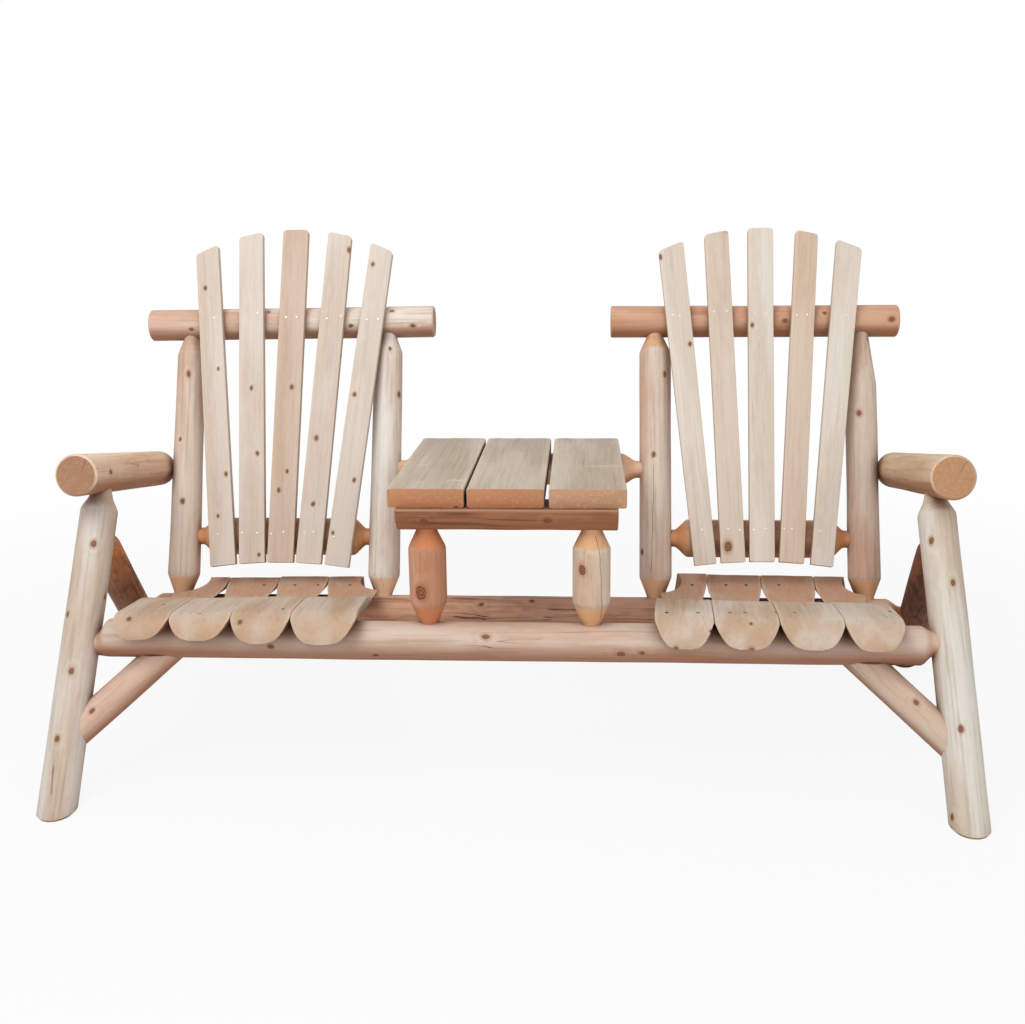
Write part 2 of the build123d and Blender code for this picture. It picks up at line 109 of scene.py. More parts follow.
# Shader nodes, a short hand
class Nodes:
    def __init__(self, tree):
        self.tree = tree
        tree.nodes.clear()

    def put(self, kind, inputs=(), **settings):
        node = self.tree.nodes.new(kind)
        for key, value in settings.items():
            setattr(node, key, value)
        for key, value in dict(inputs).items():
            if isinstance(value, bpy.types.NodeSocket):
                self.tree.links.new(value, node.inputs[key])
            else:
                node.inputs[key].default_value = value
        return node

    def math(self, operation, first, second=0.0, clamp=False):
        inputs = {0: first, 1: second}
        return self.put("ShaderNodeMath", inputs, operation=operation, use_clamp=clamp).outputs[0]

    def plus(self, first, second):
        return self.math("ADD", first, second)

    def times(self, first, second):
        return self.math("MULTIPLY", first, second)

    def distance(self, first, second):
        return self.math("ABSOLUTE", self.math("SUBTRACT", first, second))

    def vector(self, operation, first, second=(0, 0, 0)):
        node = self.put("ShaderNodeVectorMath", {0: first, 1: second}, operation=operation)
        return node.outputs["Value" if operation in ("LENGTH", "DOT_PRODUCT") else "Vector"]

    def scaled(self, vector, scale):
        inputs = {"Vector": vector, "Scale": scale}
        return self.put("ShaderNodeVectorMath", inputs, operation="SCALE").outputs["Vector"]

    def ramp(self, value, low, high, top=1.0):
        inputs = {"Value": value, "From Min": low, "From Max": high, "To Max": top}
        return self.put("ShaderNodeMapRange", inputs, interpolation_type="SMOOTHSTEP").outputs[0]

    def noise(self, place, stretch, detail):
        inputs = {"Vector": self.vector("MULTIPLY", place, stretch), "Scale": 1.0, "Detail": detail}
        return self.put("ShaderNodeTexNoise", inputs)

    def mix(self, share, first, second, how="MIX"):
        inputs = {0: share, 6: first, 7: second}
        return self.put("ShaderNodeMix", inputs, data_type="RGBA", blend_type=how).outputs[2]

    def surface(self, looks):
        shader = self.put("ShaderNodeBsdfPrincipled", looks)
        self.put("ShaderNodeOutputMaterial", {"Surface": shader.outputs[0]})


def newMaterial(name):
    material = bpy.data.materials.new(name)
    material.use_nodes = True
    return material, Nodes(material.node_tree)


def tone(red, green, blue):
    # An 8-bit screen colour as the linear colour that a shader takes.
    def channel(value):
        value /= 255
        return value / 12.92 if value <= 0.04045 else ((value + 0.055) / 1.055) ** 2.4

    return (channel(red), channel(green), channel(blue), 1.0)


# Floor, sky and lamps
white = (1, 1, 1, 1)
studio = {
    "floorColour": (225, 225, 225),
    "floorWhiteNear": 0.9,
    "floorWhiteFar": 1.0,
    "fadeFrom": 1.3,
    "fadeTo": 3.2,
    "floorReach": 60.0,
    "skyStrength": 0.56,
    "skyColour": (255, 250, 245),
    # name, place and aim in metres, size in metres, watts
    "lamps": (
        ("softboxAbove", (-1.2, -1.9, 3.6), (0.0, 0.0, 0.4), 2.4, 74.0),
        ("softboxFront", (1.4, -3.7, 1.8), (0.0, 0.0, 0.5), 2.4, 24.0),
    ),
}


def makeLamps():
    for name, place, aim, size, watts in studio["lamps"]:
        data = bpy.data.lights.new(name, "AREA")
        data.shape = "DISK"
        data.size = size
        data.energy = watts
        lamp = addObject(name, data)
        lamp.location = place
        lamp.rotation_euler = (Vector(aim) - Vector(place)).to_track_quat("-Z", "Y").to_euler()


def makeSky():
    world = bpy.data.worlds.new("paleSky")
    bpy.context.scene.world = world
    world.use_nodes = True
    nodes = Nodes(world.node_tree)
    path = nodes.put("ShaderNodeLightPath")
    seen = nodes.math("MAXIMUM", path.outputs["Is Camera Ray"], path.outputs["Is Glossy Ray"])
    settings = {"Color": tone(*studio["skyColour"]), "Strength": studio["skyStrength"]}
    sky = nodes.put("ShaderNodeBackground", settings)
    blank = nodes.put("ShaderNodeBackground", {"Color": white, "Strength": 1.0})
    mixed = nodes.put("ShaderNodeMixShader", {0: seen, 1: sky.outputs[0], 2: blank.outputs[0]})
    nodes.put("ShaderNodeOutputWorld", {"Surface": mixed.outputs[0]})


def makeFloor():
    # White to the camera, but for a share of the lit floor near the bench that keeps its shadow.
    material, nodes = newMaterial("paleFloor")
    path = nodes.put("ShaderNodeLightPath")
    place = nodes.put("ShaderNodeNewGeometry").outputs["Position"]
    away = nodes.ramp(nodes.vector("LENGTH", place), studio["fadeFrom"], studio["fadeTo"])
    spread = studio["floorWhiteFar"] - studio["floorWhiteNear"]
    whiteness = nodes.plus(nodes.times(away, spread), studio["floorWhiteNear"])
    share = nodes.times(path.outputs["Is Camera Ray"], whiteness)
    lit = nodes.put("ShaderNodeBsdfDiffuse", {"Color": tone(*studio["floorColour"])})
    glow = nodes.put("ShaderNodeEmission", {"Color": white, "Strength": 1.0})
    mixed = nodes.put("ShaderNodeMixShader", {0: share, 1: lit.outputs[0], 2: glow.outputs[0]})
    nodes.put("ShaderNodeOutputMaterial", {"Surface": mixed.outputs[0]})
    reach = studio["floorReach"]
    corners = [(-reach, -reach, 0), (reach, -reach, 0), (reach, reach, 0), (-reach, reach, 0)]
    mesh = bpy.data.meshes.new("floor")
    mesh.from_pydata(corners, [], [(0, 1, 2, 3)])
    mesh.materials.append(material)
    addObject("floor", mesh)


makeCamera()
makeLamps()
makeSky()
makeFloor()
bpy.context.scene.view_settings.view_transform = "Standard"
print("OK camera, lamps, sky and floor")

# The bench's main lines
bench = {
    "frontRailY": -254.6,
    "frontRailHeight": 302.0,
    "railSpacing": 436.0,
    "rearRailDrop": 94.0,
    "legX": 883.0,
    "legLean": 31.0,
    "legSplay": 1.7,
    "recline": 21.0,
    "outerPostX": 817.5,
    "innerPostX": 326.3,
    "poleRadius": 38.0,
    "tenonRadius": 20.5,
    "stoutTenonRadius": 25.0,
    "tenonPast": 12.0,
    "neckGap": 1.5,
    "fitGap": 0.3,
}

sides = (("left", -1), ("right", 1))
skyward = Vector((0, 0, 1))
railWay = Vector((1, 0, 0))
rearRailY = bench["frontRailY"] + bench["railSpacing"]
rearRailHeight = bench["frontRailHeight"] - bench["rearRailDrop"]
recline = math.radians(bench["recline"])
postWay = Vector((0, math.sin(recline), math.cos(recline)))
backFront = Vector((0, -math.cos(recline), math.sin(recline)))
fullRadius = bench["poleRadius"]
tenonRadius = bench["tenonRadius"]
stoutRadius = bench["stoutTenonRadius"]
tenonTip = -bench["tenonPast"]


def legPoint(side, height):
    rise = height - bench["frontRailHeight"]
    return Vector((
        side * (bench["legX"] - rise * math.tan(math.radians(bench["legSplay"]))),
        bench["frontRailY"] + rise * math.tan(math.radians(bench["legLean"])),
        height,
    ))


def backPoint(x, rise):
    return Vector((x, rearRailY, rearRailHeight)) + postWay * rise


def planeCrossing(start, along, cut):
    origin, normal = cut
    return (origin - start).dot(normal) / along.dot(normal)


def seedOf(node, step):
    return Vector((sum(map(ord, node)) * step, len(node), 0))


def bandFaces(first, count, rings):
    # The quads between neighbouring rings of count points each
    faces = []
    for base in range(first, first + (rings - 1) * count, count):
        for step in range(count):
            after = (step + 1) % count
            faces.append((base + step, base + after, base + count + after, base + count + step))
    return faces


def smoothen(mesh, sharpAngle):
    mesh.shade_smooth()
    mesh.set_sharp_from_angle(angle=math.radians(sharpAngle))


woodSharpAngle = 36
hiddenTries = 40


# A piece is a closed skin over rings of points. Its grain runs along its own X, and each point says how
# worn it is, from 0 on a face to 1 on an edge.
class Piece:
    def __init__(self, node, slot, rings, matrix, bodyRadius=None):
        self.node = node
        self.slot = slot
        self.bodyRadius = bodyRadius
        self.place = matrix.copy()
        self.place.translation = matrix.translation * metres
        self.points = [Vector(point[:3]) * metres for ring in rings for point in ring]
        self.wear = [point[3] for ring in rings for point in ring]
        count, total = len(rings[0]), len(self.points)
        self.faces = [tuple(reversed(range(count)))]
        self.faces += bandFaces(0, count, len(rings))
        self.faces.append(tuple(range(total - count, total)))
        self.knots = []
        self.cracks = []
        self.skin = BVHTree.FromPolygons([self.place @ point for point in self.points], self.faces)

    def seenAt(self, u, v):
        # The spot that the photograph shows at a pixel, in the piece's own axes, and the skin's direction.
        spot, normal = self.skin.ray_cast(eye, pixelRay(u, v))[:2]
        if spot is None:
            return None, None
        return self.place.inverted() @ spot, normal

    def hiddenSpot(self, dice):
        # A spot on the skin that the photograph doesn't show.
        for attempt in range(hiddenTries):
            face = self.faces[dice.randrange(1, len(self.faces) - 1)]
            corners = [self.place @ self.points[corner] for corner in face]
            normal = (corners[1] - corners[0]).cross(corners[2] - corners[0])
            spot = sum(corners, Vector()) / len(corners)
            if normal.dot(eye - spot) < 0:
                return self.place.inverted() @ spot
        return None

    def build(self, material, cutter=None):
        # The mesh holds the place and the object stays at the origin, as the CAD nodes do.
        name = self.node + "_wood"
        mesh = bpy.data.meshes.new(name)
        mesh.from_pydata([self.place @ point for point in self.points], [], self.faces)
        mesh.attributes.new("wear", "FLOAT", "POINT").data.foreach_set("value", self.wear)
        mesh.materials.append(material)
        bm = bmesh.new()
        bm.from_mesh(mesh)
        bmesh.ops.recalc_face_normals(bm, faces=bm.faces)
        bm.to_mesh(mesh)
        bm.free()
        made = addObject(name, mesh)
        if cutter:
            cut = made.modifiers.new("notch", "BOOLEAN")
            cut.object = cutter
            cut.operation = "DIFFERENCE"
            cut.solver = "EXACT"
            bpy.context.view_layer.update()
            graph = bpy.context.evaluated_depsgraph_get()
            made.data = bpy.data.meshes.new_from_object(made.evaluated_get(graph))
            made.modifiers.clear()
        smoothen(made.data, woodSharpAngle)
        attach(made, "root")
        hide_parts(self.node)


pieces = {}

# Poles: turned outlines, with a little of the tree's own unevenness and the flats of the peeling knife
pole = {
    "around": 40,
    "step": 20.0,
    "closest": 1.2,
    "soften": 3.5,
    "seedStep": 0.37,
    "lump": 0.9,
    "lumpLength": 150.0,
    "flat": 0.4,
    "flatLength": 400.0,
    "flatsAround": 3.2,
    "flatShift": 9,
    "straighten": 110.0,
    "uprightFrom": 0.75,
    "sawnFrom": 0.85,
    "sawnWithin": 0.5,
}


def tenonEnd(tip, neck, cone, neckRadius, bodyRadius):
    # Distances from the joint's centre towards the middle of the pole, each with its radius
    return [(tip, neckRadius), (neck, neckRadius), (neck + cone, bodyRadius)]


def sawnEnd(bodyRadius, easing):
    return [(0, bodyRadius - easing), (easing, bodyRadius)]


def neckReach(along, receiver, receiverRadius, neckRadius):
    slant = abs(along.normalized().dot(receiver.normalized()))
    return (receiverRadius + bench["neckGap"] + neckRadius * slant) / math.sqrt(1 - slant * slant)


def radiusAt(outline, s):
    for (low, lowRadius), (high, highRadius) in zip(outline, outline[1:]):
        if s <= high:
            return between(lowRadius, highRadius, max(0.0, s - low) / max(high - low, 0.001))
    return outline[-1][1]


def poleStations(outline):
    first, last = outline[0][0], outline[-1][0]
    soften = pole["soften"]
    wanted = {first, last, outline[1][0], outline[-2][0]}
    for s, radius in outline[1:-1]:
        wanted.update((s - soften, s, s + soften))
    count = max(2, round((last - first) / pole["step"]))
    wanted.update(first + (last - first) * step / count for step in range(1, count))
    stations = [first]
    for s in sorted(wanted):
        if first < s <= last and (s - stations[-1] > pole["closest"] or s == last):
            stations.append(s)
    return stations


def poleReach(seed, s, y, z, radius):
    # The radius in one direction, with the tree's lumps and the knife's flats
    turns = pole["flatsAround"]
    lump = noise.noise(seed + Vector((s / pole["lumpLength"], y, z)))
    flat = noise.noise(seed + Vector((s / pole["flatLength"] + pole["flatShift"], y * turns, z * turns)))
    return radius + lump * pole["lump"] + flat * pole["flat"]


def makePole(node, start, end, near, far, slot="peeled_cedar", cuts=(None, None), coneDrop=(0.0, 0.0)):
    # coneDrop moves the cone at each end along the piece's own Z, which points down on a rail. It is a
    # share of the cone's depth: at 1 the lower line runs on and the top line takes the whole taper.
    length = (end - start).length
    along = (end - start).normalized()
    upright = abs(along.z) > pole["uprightFrom"]
    across = along.cross(Vector((0, 1, 0)) if upright else skyward).normalized()
    lift = along.cross(across)
    outline = near + [(length - distance, radius) for distance, radius in reversed(far)]
    first, last = outline[0][0], outline[-1][0]
    bodyRadius = max(radius for s, radius in outline)
    sawnEnds = [s for s in (first, last) if radiusAt(outline, s) > bodyRadius * pole["sawnFrom"]]
    soften = pole["soften"]
    seed = seedOf(node, pole["seedStep"])
    rings = []
    for s in poleStations(outline):
        inner = first + 2 * soften < s < last - 2 * soften
        spread = (-soften, 0, soften) if inner else (0,)
        radius = sum(radiusAt(outline, s + shift) for shift in spread) / len(spread)
        wear = 1.0 if any(abs(s - sawn) < pole["sawnWithin"] for sawn in sawnEnds) else 0.0
        drop = (bodyRadius - radius) * coneDrop[0 if s < length / 2 else 1]
        ring = []
        for step in range(pole["around"]):
            angle = 2 * math.pi * step / pole["around"]
            y, z = math.cos(angle), math.sin(angle)
            reach = poleReach(seed, s, y, z, radius)
            offset = (across * y + lift * z) * reach
            at = s
            # Near a slanting cut the rings lean until the last one lies on it.
            for cut, distance in zip(cuts, (s - first, last - s)):
                if cut:
                    slide = planeCrossing(start + offset, along, cut) - planeCrossing(start, along, cut)
                    at += slide * max(0.0, 1 - distance / pole["straighten"])
            ring.append((at, y * reach, z * reach + drop, wear))
        rings.append(ring)
    pieces[node] = Piece(node, slot, rings, axesMatrix(along, across, lift, start), bodyRadius)


# Legs and arms
legs = {
    "footEasing": 5.0,
    "rearLegUnderArm": 117.0,
    "rearLegXAtRail": 935.7,
    "tenonPoint": 5.0,
    "cone": 25.0,
}
arms = {
    "height": 607.0,
    "fall": 11.6,
    "frontReach": 130.7,
    "tail": 17.0,
    "frontRadii": {-1: 43.5, 1: 45.0},
    "legOffsets": {-1: 12.0, 1: 8.0},
    "rearRadius": 42.0,
    "housing": 3.0,
    "endEasing": 4.0,
}
legRail, legMeet, rearLegRail, armOverLeg = {}, {}, {}, {}
for name, side in sides:
    legRail[side] = legPoint(side, bench["frontRailHeight"])
    legMeet[side] = legPoint(side, arms["height"] - legs["rearLegUnderArm"])
    rearLegRail[side] = Vector((side * legs["rearLegXAtRail"], rearRailY, rearRailHeight))
    armOverLeg[side] = legPoint(side, arms["height"])
armFall = math.radians(arms["fall"])
armRun = Vector((0, math.cos(armFall), -math.sin(armFall)))
footEnd = sawnEnd(fullRadius, legs["footEasing"])
for name, side in sides:
    foot, top = legPoint(side, 0), armOverLeg[side]
    neck = neckReach(top - foot, armRun, arms["frontRadii"][side], stoutRadius)
    head = tenonEnd(tenonTip, neck, legs["cone"], stoutRadius, fullRadius)
    head[0] = (tenonTip, legs["tenonPoint"])
    makePole(f"front_leg_{name}", foot, top, footEnd, head, cuts=((foot, skyward), None))

    meet = legMeet[side]
    down = (rearLegRail[side] - meet).normalized()
    foot = meet - down * meet.z / down.z
    neck = neckReach(down, meet - legRail[side], fullRadius, tenonRadius)
    head = tenonEnd(tenonTip, neck, legs["cone"], tenonRadius, fullRadius)
    makePole(f"rear_leg_{name}", meet, foot, head, footEnd, "shaded_cedar", (None, (foot, skyward)))

# Front and rear rails
rails = {"frontRadius": 39.5, "frontCone": 18.0, "rearCone": 25.0, "coneDrop": (0.9, -0.3)}
neck = neckReach(railWay, legMeet[1] - legRail[1], fullRadius, stoutRadius)
railEnd = tenonEnd(tenonTip, neck, rails["frontCone"], stoutRadius, rails["frontRadius"])
makePole("front_rail", legRail[-1], legRail[1], railEnd, railEnd, coneDrop=rails["coneDrop"])
neck = neckReach(railWay, rearLegRail[1] - legMeet[1], fullRadius, tenonRadius)
railEnd = tenonEnd(tenonTip, neck, rails["rearCone"], tenonRadius, fullRadius)
makePole("rear_rail", rearLegRail[-1], rearLegRail[1], railEnd, railEnd)

# Knee braces, cut off level under the rail and upright beside the leg
brace = {
    "radius": 32.5,
    "run": 211.0,
    "drop": 211.0,
    "backAtRail": 22.0,
    "backAtLeg": 10.0,
    "topUnderRail": 27.0,
    "endBesideLeg": 25.0,
    "endLength": 2,
}
for name, side in sides:
    down = (legPoint(side, 0) - legRail[side]).normalized()
    legJoint = legRail[side] + down * brace["drop"]
    onLeg = legJoint + Vector((0, brace["backAtLeg"], 0))
    railY = bench["frontRailY"] + brace["backAtRail"]
    onRail = Vector((side * (bench["legX"] - brace["run"]), railY, bench["frontRailHeight"]))
    along = (onLeg - onRail).normalized()
    railCut = (legRail[side] - skyward * brace["topUnderRail"], skyward)
    besideLeg = legJoint - railWay * side * brace["endBesideLeg"]
    legCut = (besideLeg, Vector((side, 0, side * down.x / abs(down.z))).normalized())
    first, last = (onRail + along * planeCrossing(onRail, along, cut) for cut in (railCut, legCut))
    ends = [(0, brace["radius"]), (brace["endLength"], brace["radius"])]
    makePole(f"knee_brace_{name}", first, last, ends, ends, cuts=(railCut, legCut))

# Arms
toPostY = rearRailY - armOverLeg[1].y
toPostZ = rearRailHeight - armOverLeg[1].z
armToPost = toPostY * postWay.z - toPostZ * postWay.y
armToPost /= armRun.y * postWay.z - armRun.z * postWay.y
armXAtPost = bench["outerPostX"] + fullRadius + arms["rearRadius"] - arms["housing"]
for name, side in sides:
    overLeg = armOverLeg[side] + railWay * side * arms["legOffsets"][side]
    besidePost = Vector((side * armXAtPost, overLeg.y, overLeg.z)) + armRun * armToPost
    along = (besidePost - overLeg).normalized()
    start, end = overLeg - along * arms["frontReach"], besidePost + along * arms["tail"]
    ends = [sawnEnd(radius, arms["endEasing"]) for radius in (arms["frontRadii"][side], arms["rearRadius"])]
    makePole(f"arm_{name}", start, end, *ends, "arm_cedar")

# Back posts: name, x, head radius, head cone, rise of the top
posts = (
    ("left_outer_post", -bench["outerPostX"], 33.5, 37.0, 704.5),
    ("left_inner_post", -bench["innerPostX"], 34.5, 37.0, 709.5),
    ("right_inner_post", bench["innerPostX"], 38.0, 37.0, 707.8),
    ("right_outer_post", bench["outerPostX"], 36.0, 120.0, 707.8),
)
poleNeck = fullRadius + bench["neckGap"]
footCone = 46.0
postTops = {}
for node, x, headRadius, headCone, topRise in posts:
    postTops[x] = backPoint(x, topRise)
    foot = tenonEnd(tenonTip, poleNeck, footCone, tenonRadius, fullRadius)
    head = tenonEnd(tenonTip, poleNeck, headCone, tenonRadius, headRadius)
    makePole(node, backPoint(x, 0), postTops[x], foot, head)

# Top and lower back rails
backRails = {
    "outerReaches": {-1: 102.0, 1: 88.5},
    "innerReaches": {-1: 112.5, 1: 107.5},
    "endEasing": 3.0,
    "lowerRadius": 45.0,
    "lowerCone": 34.0,
    "lowerNeck": 9.0,
    "lowerRise": 179.0,
}
lowerSetBack = backFront * (backRails["lowerRadius"] - fullRadius)
sawn = sawnEnd(fullRadius, backRails["endEasing"])
lowerNeck = poleNeck + backRails["lowerNeck"]
lowerCone = backRails["lowerCone"] - backRails["lowerNeck"]
lowerEnd = tenonEnd(tenonTip, lowerNeck, lowerCone, tenonRadius, backRails["lowerRadius"])
for name, side in sides:
    postXs = (side * bench["outerPostX"], side * bench["innerPostX"])
    outerTop, innerTop = (postTops[x] for x in postXs)
    along = (innerTop - outerTop).normalized()
    outerEnd = outerTop - along * backRails["outerReaches"][side]
    innerEnd = innerTop + along * backRails["innerReaches"][side]
    makePole(f"{name}_top_rail", outerEnd, innerEnd, sawn, sawn)
    lowerEnds = [backPoint(x, backRails["lowerRise"]) - lowerSetBack for x in postXs]
    makePole(f"{name}_lower_back_rail", *lowerEnds, lowerEnd, lowerEnd)


# Boards: a section with rounded edges, run between two ends that may follow an arc
boardSkin = {
    "cornerSteps": 3,
    "spacing": 20.0,
    "ease": (0.0, 0.08, 0.3, 0.6, 1.0),
    "trim": 0.7,
    "seedStep": 0.31,
    "waveAlong": 70,
    "waveAcross": 30,
}


def boardSection(halfWidth, thickness, edge):
    section = []
    corners = ((1, 1, 0), (-1, 1, 90), (-1, 0, 180), (1, 0, 270))
    for sideways, above, turn in corners:
        centreY = sideways * (halfWidth - edge)
        centreZ = thickness - edge if above else edge
        for step in range(boardSkin["cornerSteps"] + 1):
            angle = math.radians(turn + 90 * step / boardSkin["cornerSteps"])
            section.append((centreY + math.cos(angle) * edge, centreZ + math.sin(angle) * edge, 1.0))
    spread = []
    for (y, z, wear), (nextY, nextZ, nextWear) in zip(section, section[1:] + section[:1]):
        spread.append((y, z, wear))
        count = int(math.hypot(nextY - y, nextZ - z) // boardSkin["spacing"])
        for step in range(1, count + 1):
            share = step / (count + 1)
            spread.append((between(y, nextY, share), between(z, nextZ, share), 0.0))
    return spread


def boardStations(shape):
    # Shares of the length, each with its distance from the end, or None between the rounded ends
    (lowCorner, highCorner), ease, count = shape["corners"], boardSkin["ease"], shape["count"]
    low = [(0, lowCorner * share) for share in ease]
    high = [(1, highCorner * share) for share in reversed(ease)]
    return low + [(step / count, None) for step in range(1, count)] + high


def makeBoard(node, slot, matrix, shape, lowCut, highCut, halfWidth):
    # halfWidth(s) is half the width at a distance along; lowCut(y) and highCut(y) are the two ends.
    seed = seedOf(node, boardSkin["seedStep"])
    thickness = shape["thickness"]
    lowCorner, highCorner = shape["corners"]
    waveAlong, waveAcross = boardSkin["waveAlong"], boardSkin["waveAcross"]
    rings = []
    for share, inset in boardStations(shape):
        width = halfWidth(between(lowCut(0), highCut(0), share))
        nearEnd = inset is not None
        corner = highCorner if share == 1 else lowCorner
        narrow = corner - math.sqrt(corner**2 - (corner - inset) ** 2) if nearEnd else 0.0
        trim = boardSkin["trim"] if inset == 0 else 0.0
        ring = []
        for y, z, wear in boardSection(width, thickness, shape["edge"]):
            y *= (width - narrow) / width
            z = min(max(z, trim), thickness - trim)
            low, high = lowCut(y), highCut(y)
            if nearEnd:
                s = low + inset if share == 0 else high - inset
            else:
                s = between(low + lowCorner, high - highCorner, share)
            wave = noise.noise(seed + Vector((s / waveAlong, y / waveAcross, z / waveAcross)))
            swell = shape["wave"] * wave * (1 if z > thickness / 2 else -1)
            ring.append((s, y, z + swell, 1.0 if inset == 0 else wear))
        rings.append(ring)
    pieces[node] = Piece(node, slot, rings, matrix)


# Back slats
fans = {
    -1: {
        "feet": (-706.5, -636.0, -568.0, -500.0, -431.0),
        "heads": (-775.5, -663.5, -552.0, -442.0, -334.0),
        "footWidths": (62.0, 63.0, 63.0, 62.0, 59.0),
        "headWidths": (55.0, 58.5, 62.0, 57.5, 56.0),
        "headRise": 927.0,
        "footRise": 112.0,
        "headArc": 525.0,
    },
    1: {
        "feet": (438.8, 504.0, 571.0, 639.0, 709.4),
        "heads": (357.0, 469.5, 575.0, 686.0, 789.0),
        "footWidths": (50.5, 56.5, 58.0, 57.5, 51.0),
        "headWidths": (62.0, 57.0, 60.0, 52.5, 62.0),
        "headRise": 922.0,
        "footRise": 120.5,
        "headArc": 560.0,
    },
}
backSlat = {
    "thickness": 19.0,
    "corners": (2.5, 7.0),
    "edge": 1.8,
    "count": 22,
    "wave": 0.25,
    "footArc": 1150.0,
    "blank": 60.0,
}


def arcCut(origin, along, across, centre, radius):
    def cut(y):
        start = origin + across * y - centre
        reach = start.dot(along)
        return math.sqrt(reach * reach - start.dot(start) + radius * radius) - reach

    return cut


def makeBackSlat(node, fan, lowX, highX, lowWidth, highWidth):
    low, high = Vector((lowX, fan["footRise"])), Vector((highX, fan["headRise"]))
    run = (high - low).length
    along = (high - low).normalized()
    grain = railWay * along.x + postWay * along.y
    sideways = backFront.cross(grain)
    across = Vector((sideways.dot(railWay), sideways.dot(postWay)))
    headCentre = Vector((fan["heads"][2], fan["headRise"] - fan["headArc"]))
    footCentre = Vector((fan["feet"][2], fan["footRise"] - backSlat["footArc"]))
    blank = backSlat["blank"]
    origin = backPoint(lowX, fan["footRise"]) + backFront * (fullRadius + bench["fitGap"])
    makeBoard(
        node,
        "back_slat_cedar",
        axesMatrix(grain, sideways, backFront, origin),
        backSlat,
        arcCut(low, along, across, footCentre, backSlat["footArc"]),
        arcCut(low, along, across, headCentre, fan["headArc"]),
        lambda s: between(lowWidth, highWidth, (s + blank) / (run + 2 * blank)) / 2,
    )


for name, side in sides:
    fan = fans[side]
    rows = zip(fan["feet"], fan["heads"], fan["footWidths"], fan["headWidths"])
    for number, row in enumerate(rows, start=1):
        makeBackSlat(f"{name}_back_slat_{number}", fan, *row)

# Seat slats: half logs, scooped behind the crest and rolled over at the nose
seats = {
    -1: {
        "edges": (-804.0, -677.6, -553.8, -433.0, -300.0),
        "depths": (49.0, 50.0, 58.5, 60.5),
        "drops": (3.0, 2.5, -1.0, -2.0),
        "sideShares": (0.3, 0.3, 0.26, 0.22),
        "splay": 3.5,
        "outerTrim": 13.0,
        "tail": 492.0,
        "tailDepth": 10.0,
        "runOut": 14.0,
    },
    1: {
        "edges": (295.0, 411.3, 538.6, 664.3, 779.5),
        "depths": (62.5, 59.5, 58.0, 58.5),
        "drops": (-3.0, 0.0, 1.0, 2.5),
        "sideShares": (0.2, 0.28, 0.28, 0.26),
        "splay": 4.5,
        "outerTrim": 0.0,
        "tail": 506.0,
        "tailDepth": 0.5,
        "runOut": 18.0,
    },
}
seatSlat = {
    "riseOverRail": 67.3,
    "fall": 9.7,
    "gap": 0.6,
    "shoulder": 30.0,
    "noseReach": 79.0,
    "noseOverDepth": 2.0,
    "noseTip": 0.6,
    "noseSweep": 2.5,
    "crestBack": 95.0,
    "scoopBack": 342.0,
    "scoopDepth": 39.0,
    "edge": 3.0,
    "edgeShare": 0.4,
    "swell": 0.6,
    "swellLength": 60,
    "swellWidth": 40,
    "seedStep": 7.3,
    "planedFrom": 0.2,
    "planedSlant": 0.36,
    "planedPower": 4,
    "planedBack": 200.0,
    "planedRun": 140.0,
    "trimBack": 240.0,
    "trimRun": 160.0,
}
seatSteps = {
    "straight": 4, "shoulder": 6, "belly": 12, "top": 9, "edge": 3, "side": 11,
    "nose": 12, "crest": 6, "scoop": 30,
}


def scoopDrop(s, seat):
    # How far the top lies under the seat plane behind the crest: a crest arc, a trough arc, a straight tail
    depth, crestBack, scoopBack = seatSlat["scoopDepth"], seatSlat["crestBack"], seatSlat["scoopBack"]
    runOut = math.radians(seat["runOut"])
    run, rise = seat["tail"] - scoopBack, depth - seat["tailDepth"]
    troughRadius = (run * math.sin(runOut) - rise * math.cos(runOut)) / (1 - math.cos(runOut))
    dip = 2 * math.atan(depth / (scoopBack - crestBack))
    crestRadius = (scoopBack - crestBack) / math.sin(dip) - troughRadius
    if s < crestBack + crestRadius * math.sin(dip):
        return crestRadius - math.sqrt(crestRadius**2 - (s - crestBack) ** 2)
    if s < scoopBack + troughRadius * math.sin(runOut):
        return depth - troughRadius + math.sqrt(troughRadius**2 - (s - scoopBack) ** 2)
    return seat["tailDepth"] + (seat["tail"] - s) * math.tan(runOut)


def logOutline(halfWidth, depth, sideShare):
    # Half of a half log's end from the top edge down: straight side, shoulder arc, belly arc
    sideDrop, shoulder = depth * sideShare, seatSlat["shoulder"]
    reach, rest = halfWidth - shoulder, depth - sideDrop
    belly = (reach**2 + rest**2 - shoulder**2) / (2 * (rest - shoulder))
    passing = math.atan2(belly - rest, reach)
    count = seatSteps["straight"]
    points = [(halfWidth, -sideDrop * step / count) for step in range(count)]
    for step in range(seatSteps["shoulder"] + 1):
        angle = passing * step / seatSteps["shoulder"]
        points.append((reach + math.cos(angle) * shoulder, -sideDrop - math.sin(angle) * shoulder))
    for step in range(1, seatSteps["belly"] + 1):
        angle = between(passing, math.pi / 2, step / seatSteps["belly"])
        points.append((math.cos(angle) * belly, belly - depth - math.sin(angle) * belly))
    return points


def planedOutline(outline, share):
    # At the nose the sides slant in to a flat bottom; share tells how far the planing has gone.
    halfWidth, depth = outline[0][0], -outline[-1][1]
    sideDrop, power = depth * seatSlat["planedFrom"], seatSlat["planedPower"]
    planed = []
    for x, z in outline:
        turn = max(0.0, (-z - sideDrop) / (depth - sideDrop))
        rounded = max(0.0, 1 - turn**power) ** (1 / power)
        flat = halfWidth * (1 - seatSlat["planedSlant"] * turn) * rounded
        planed.append((between(x, flat, share), z))
    return planed


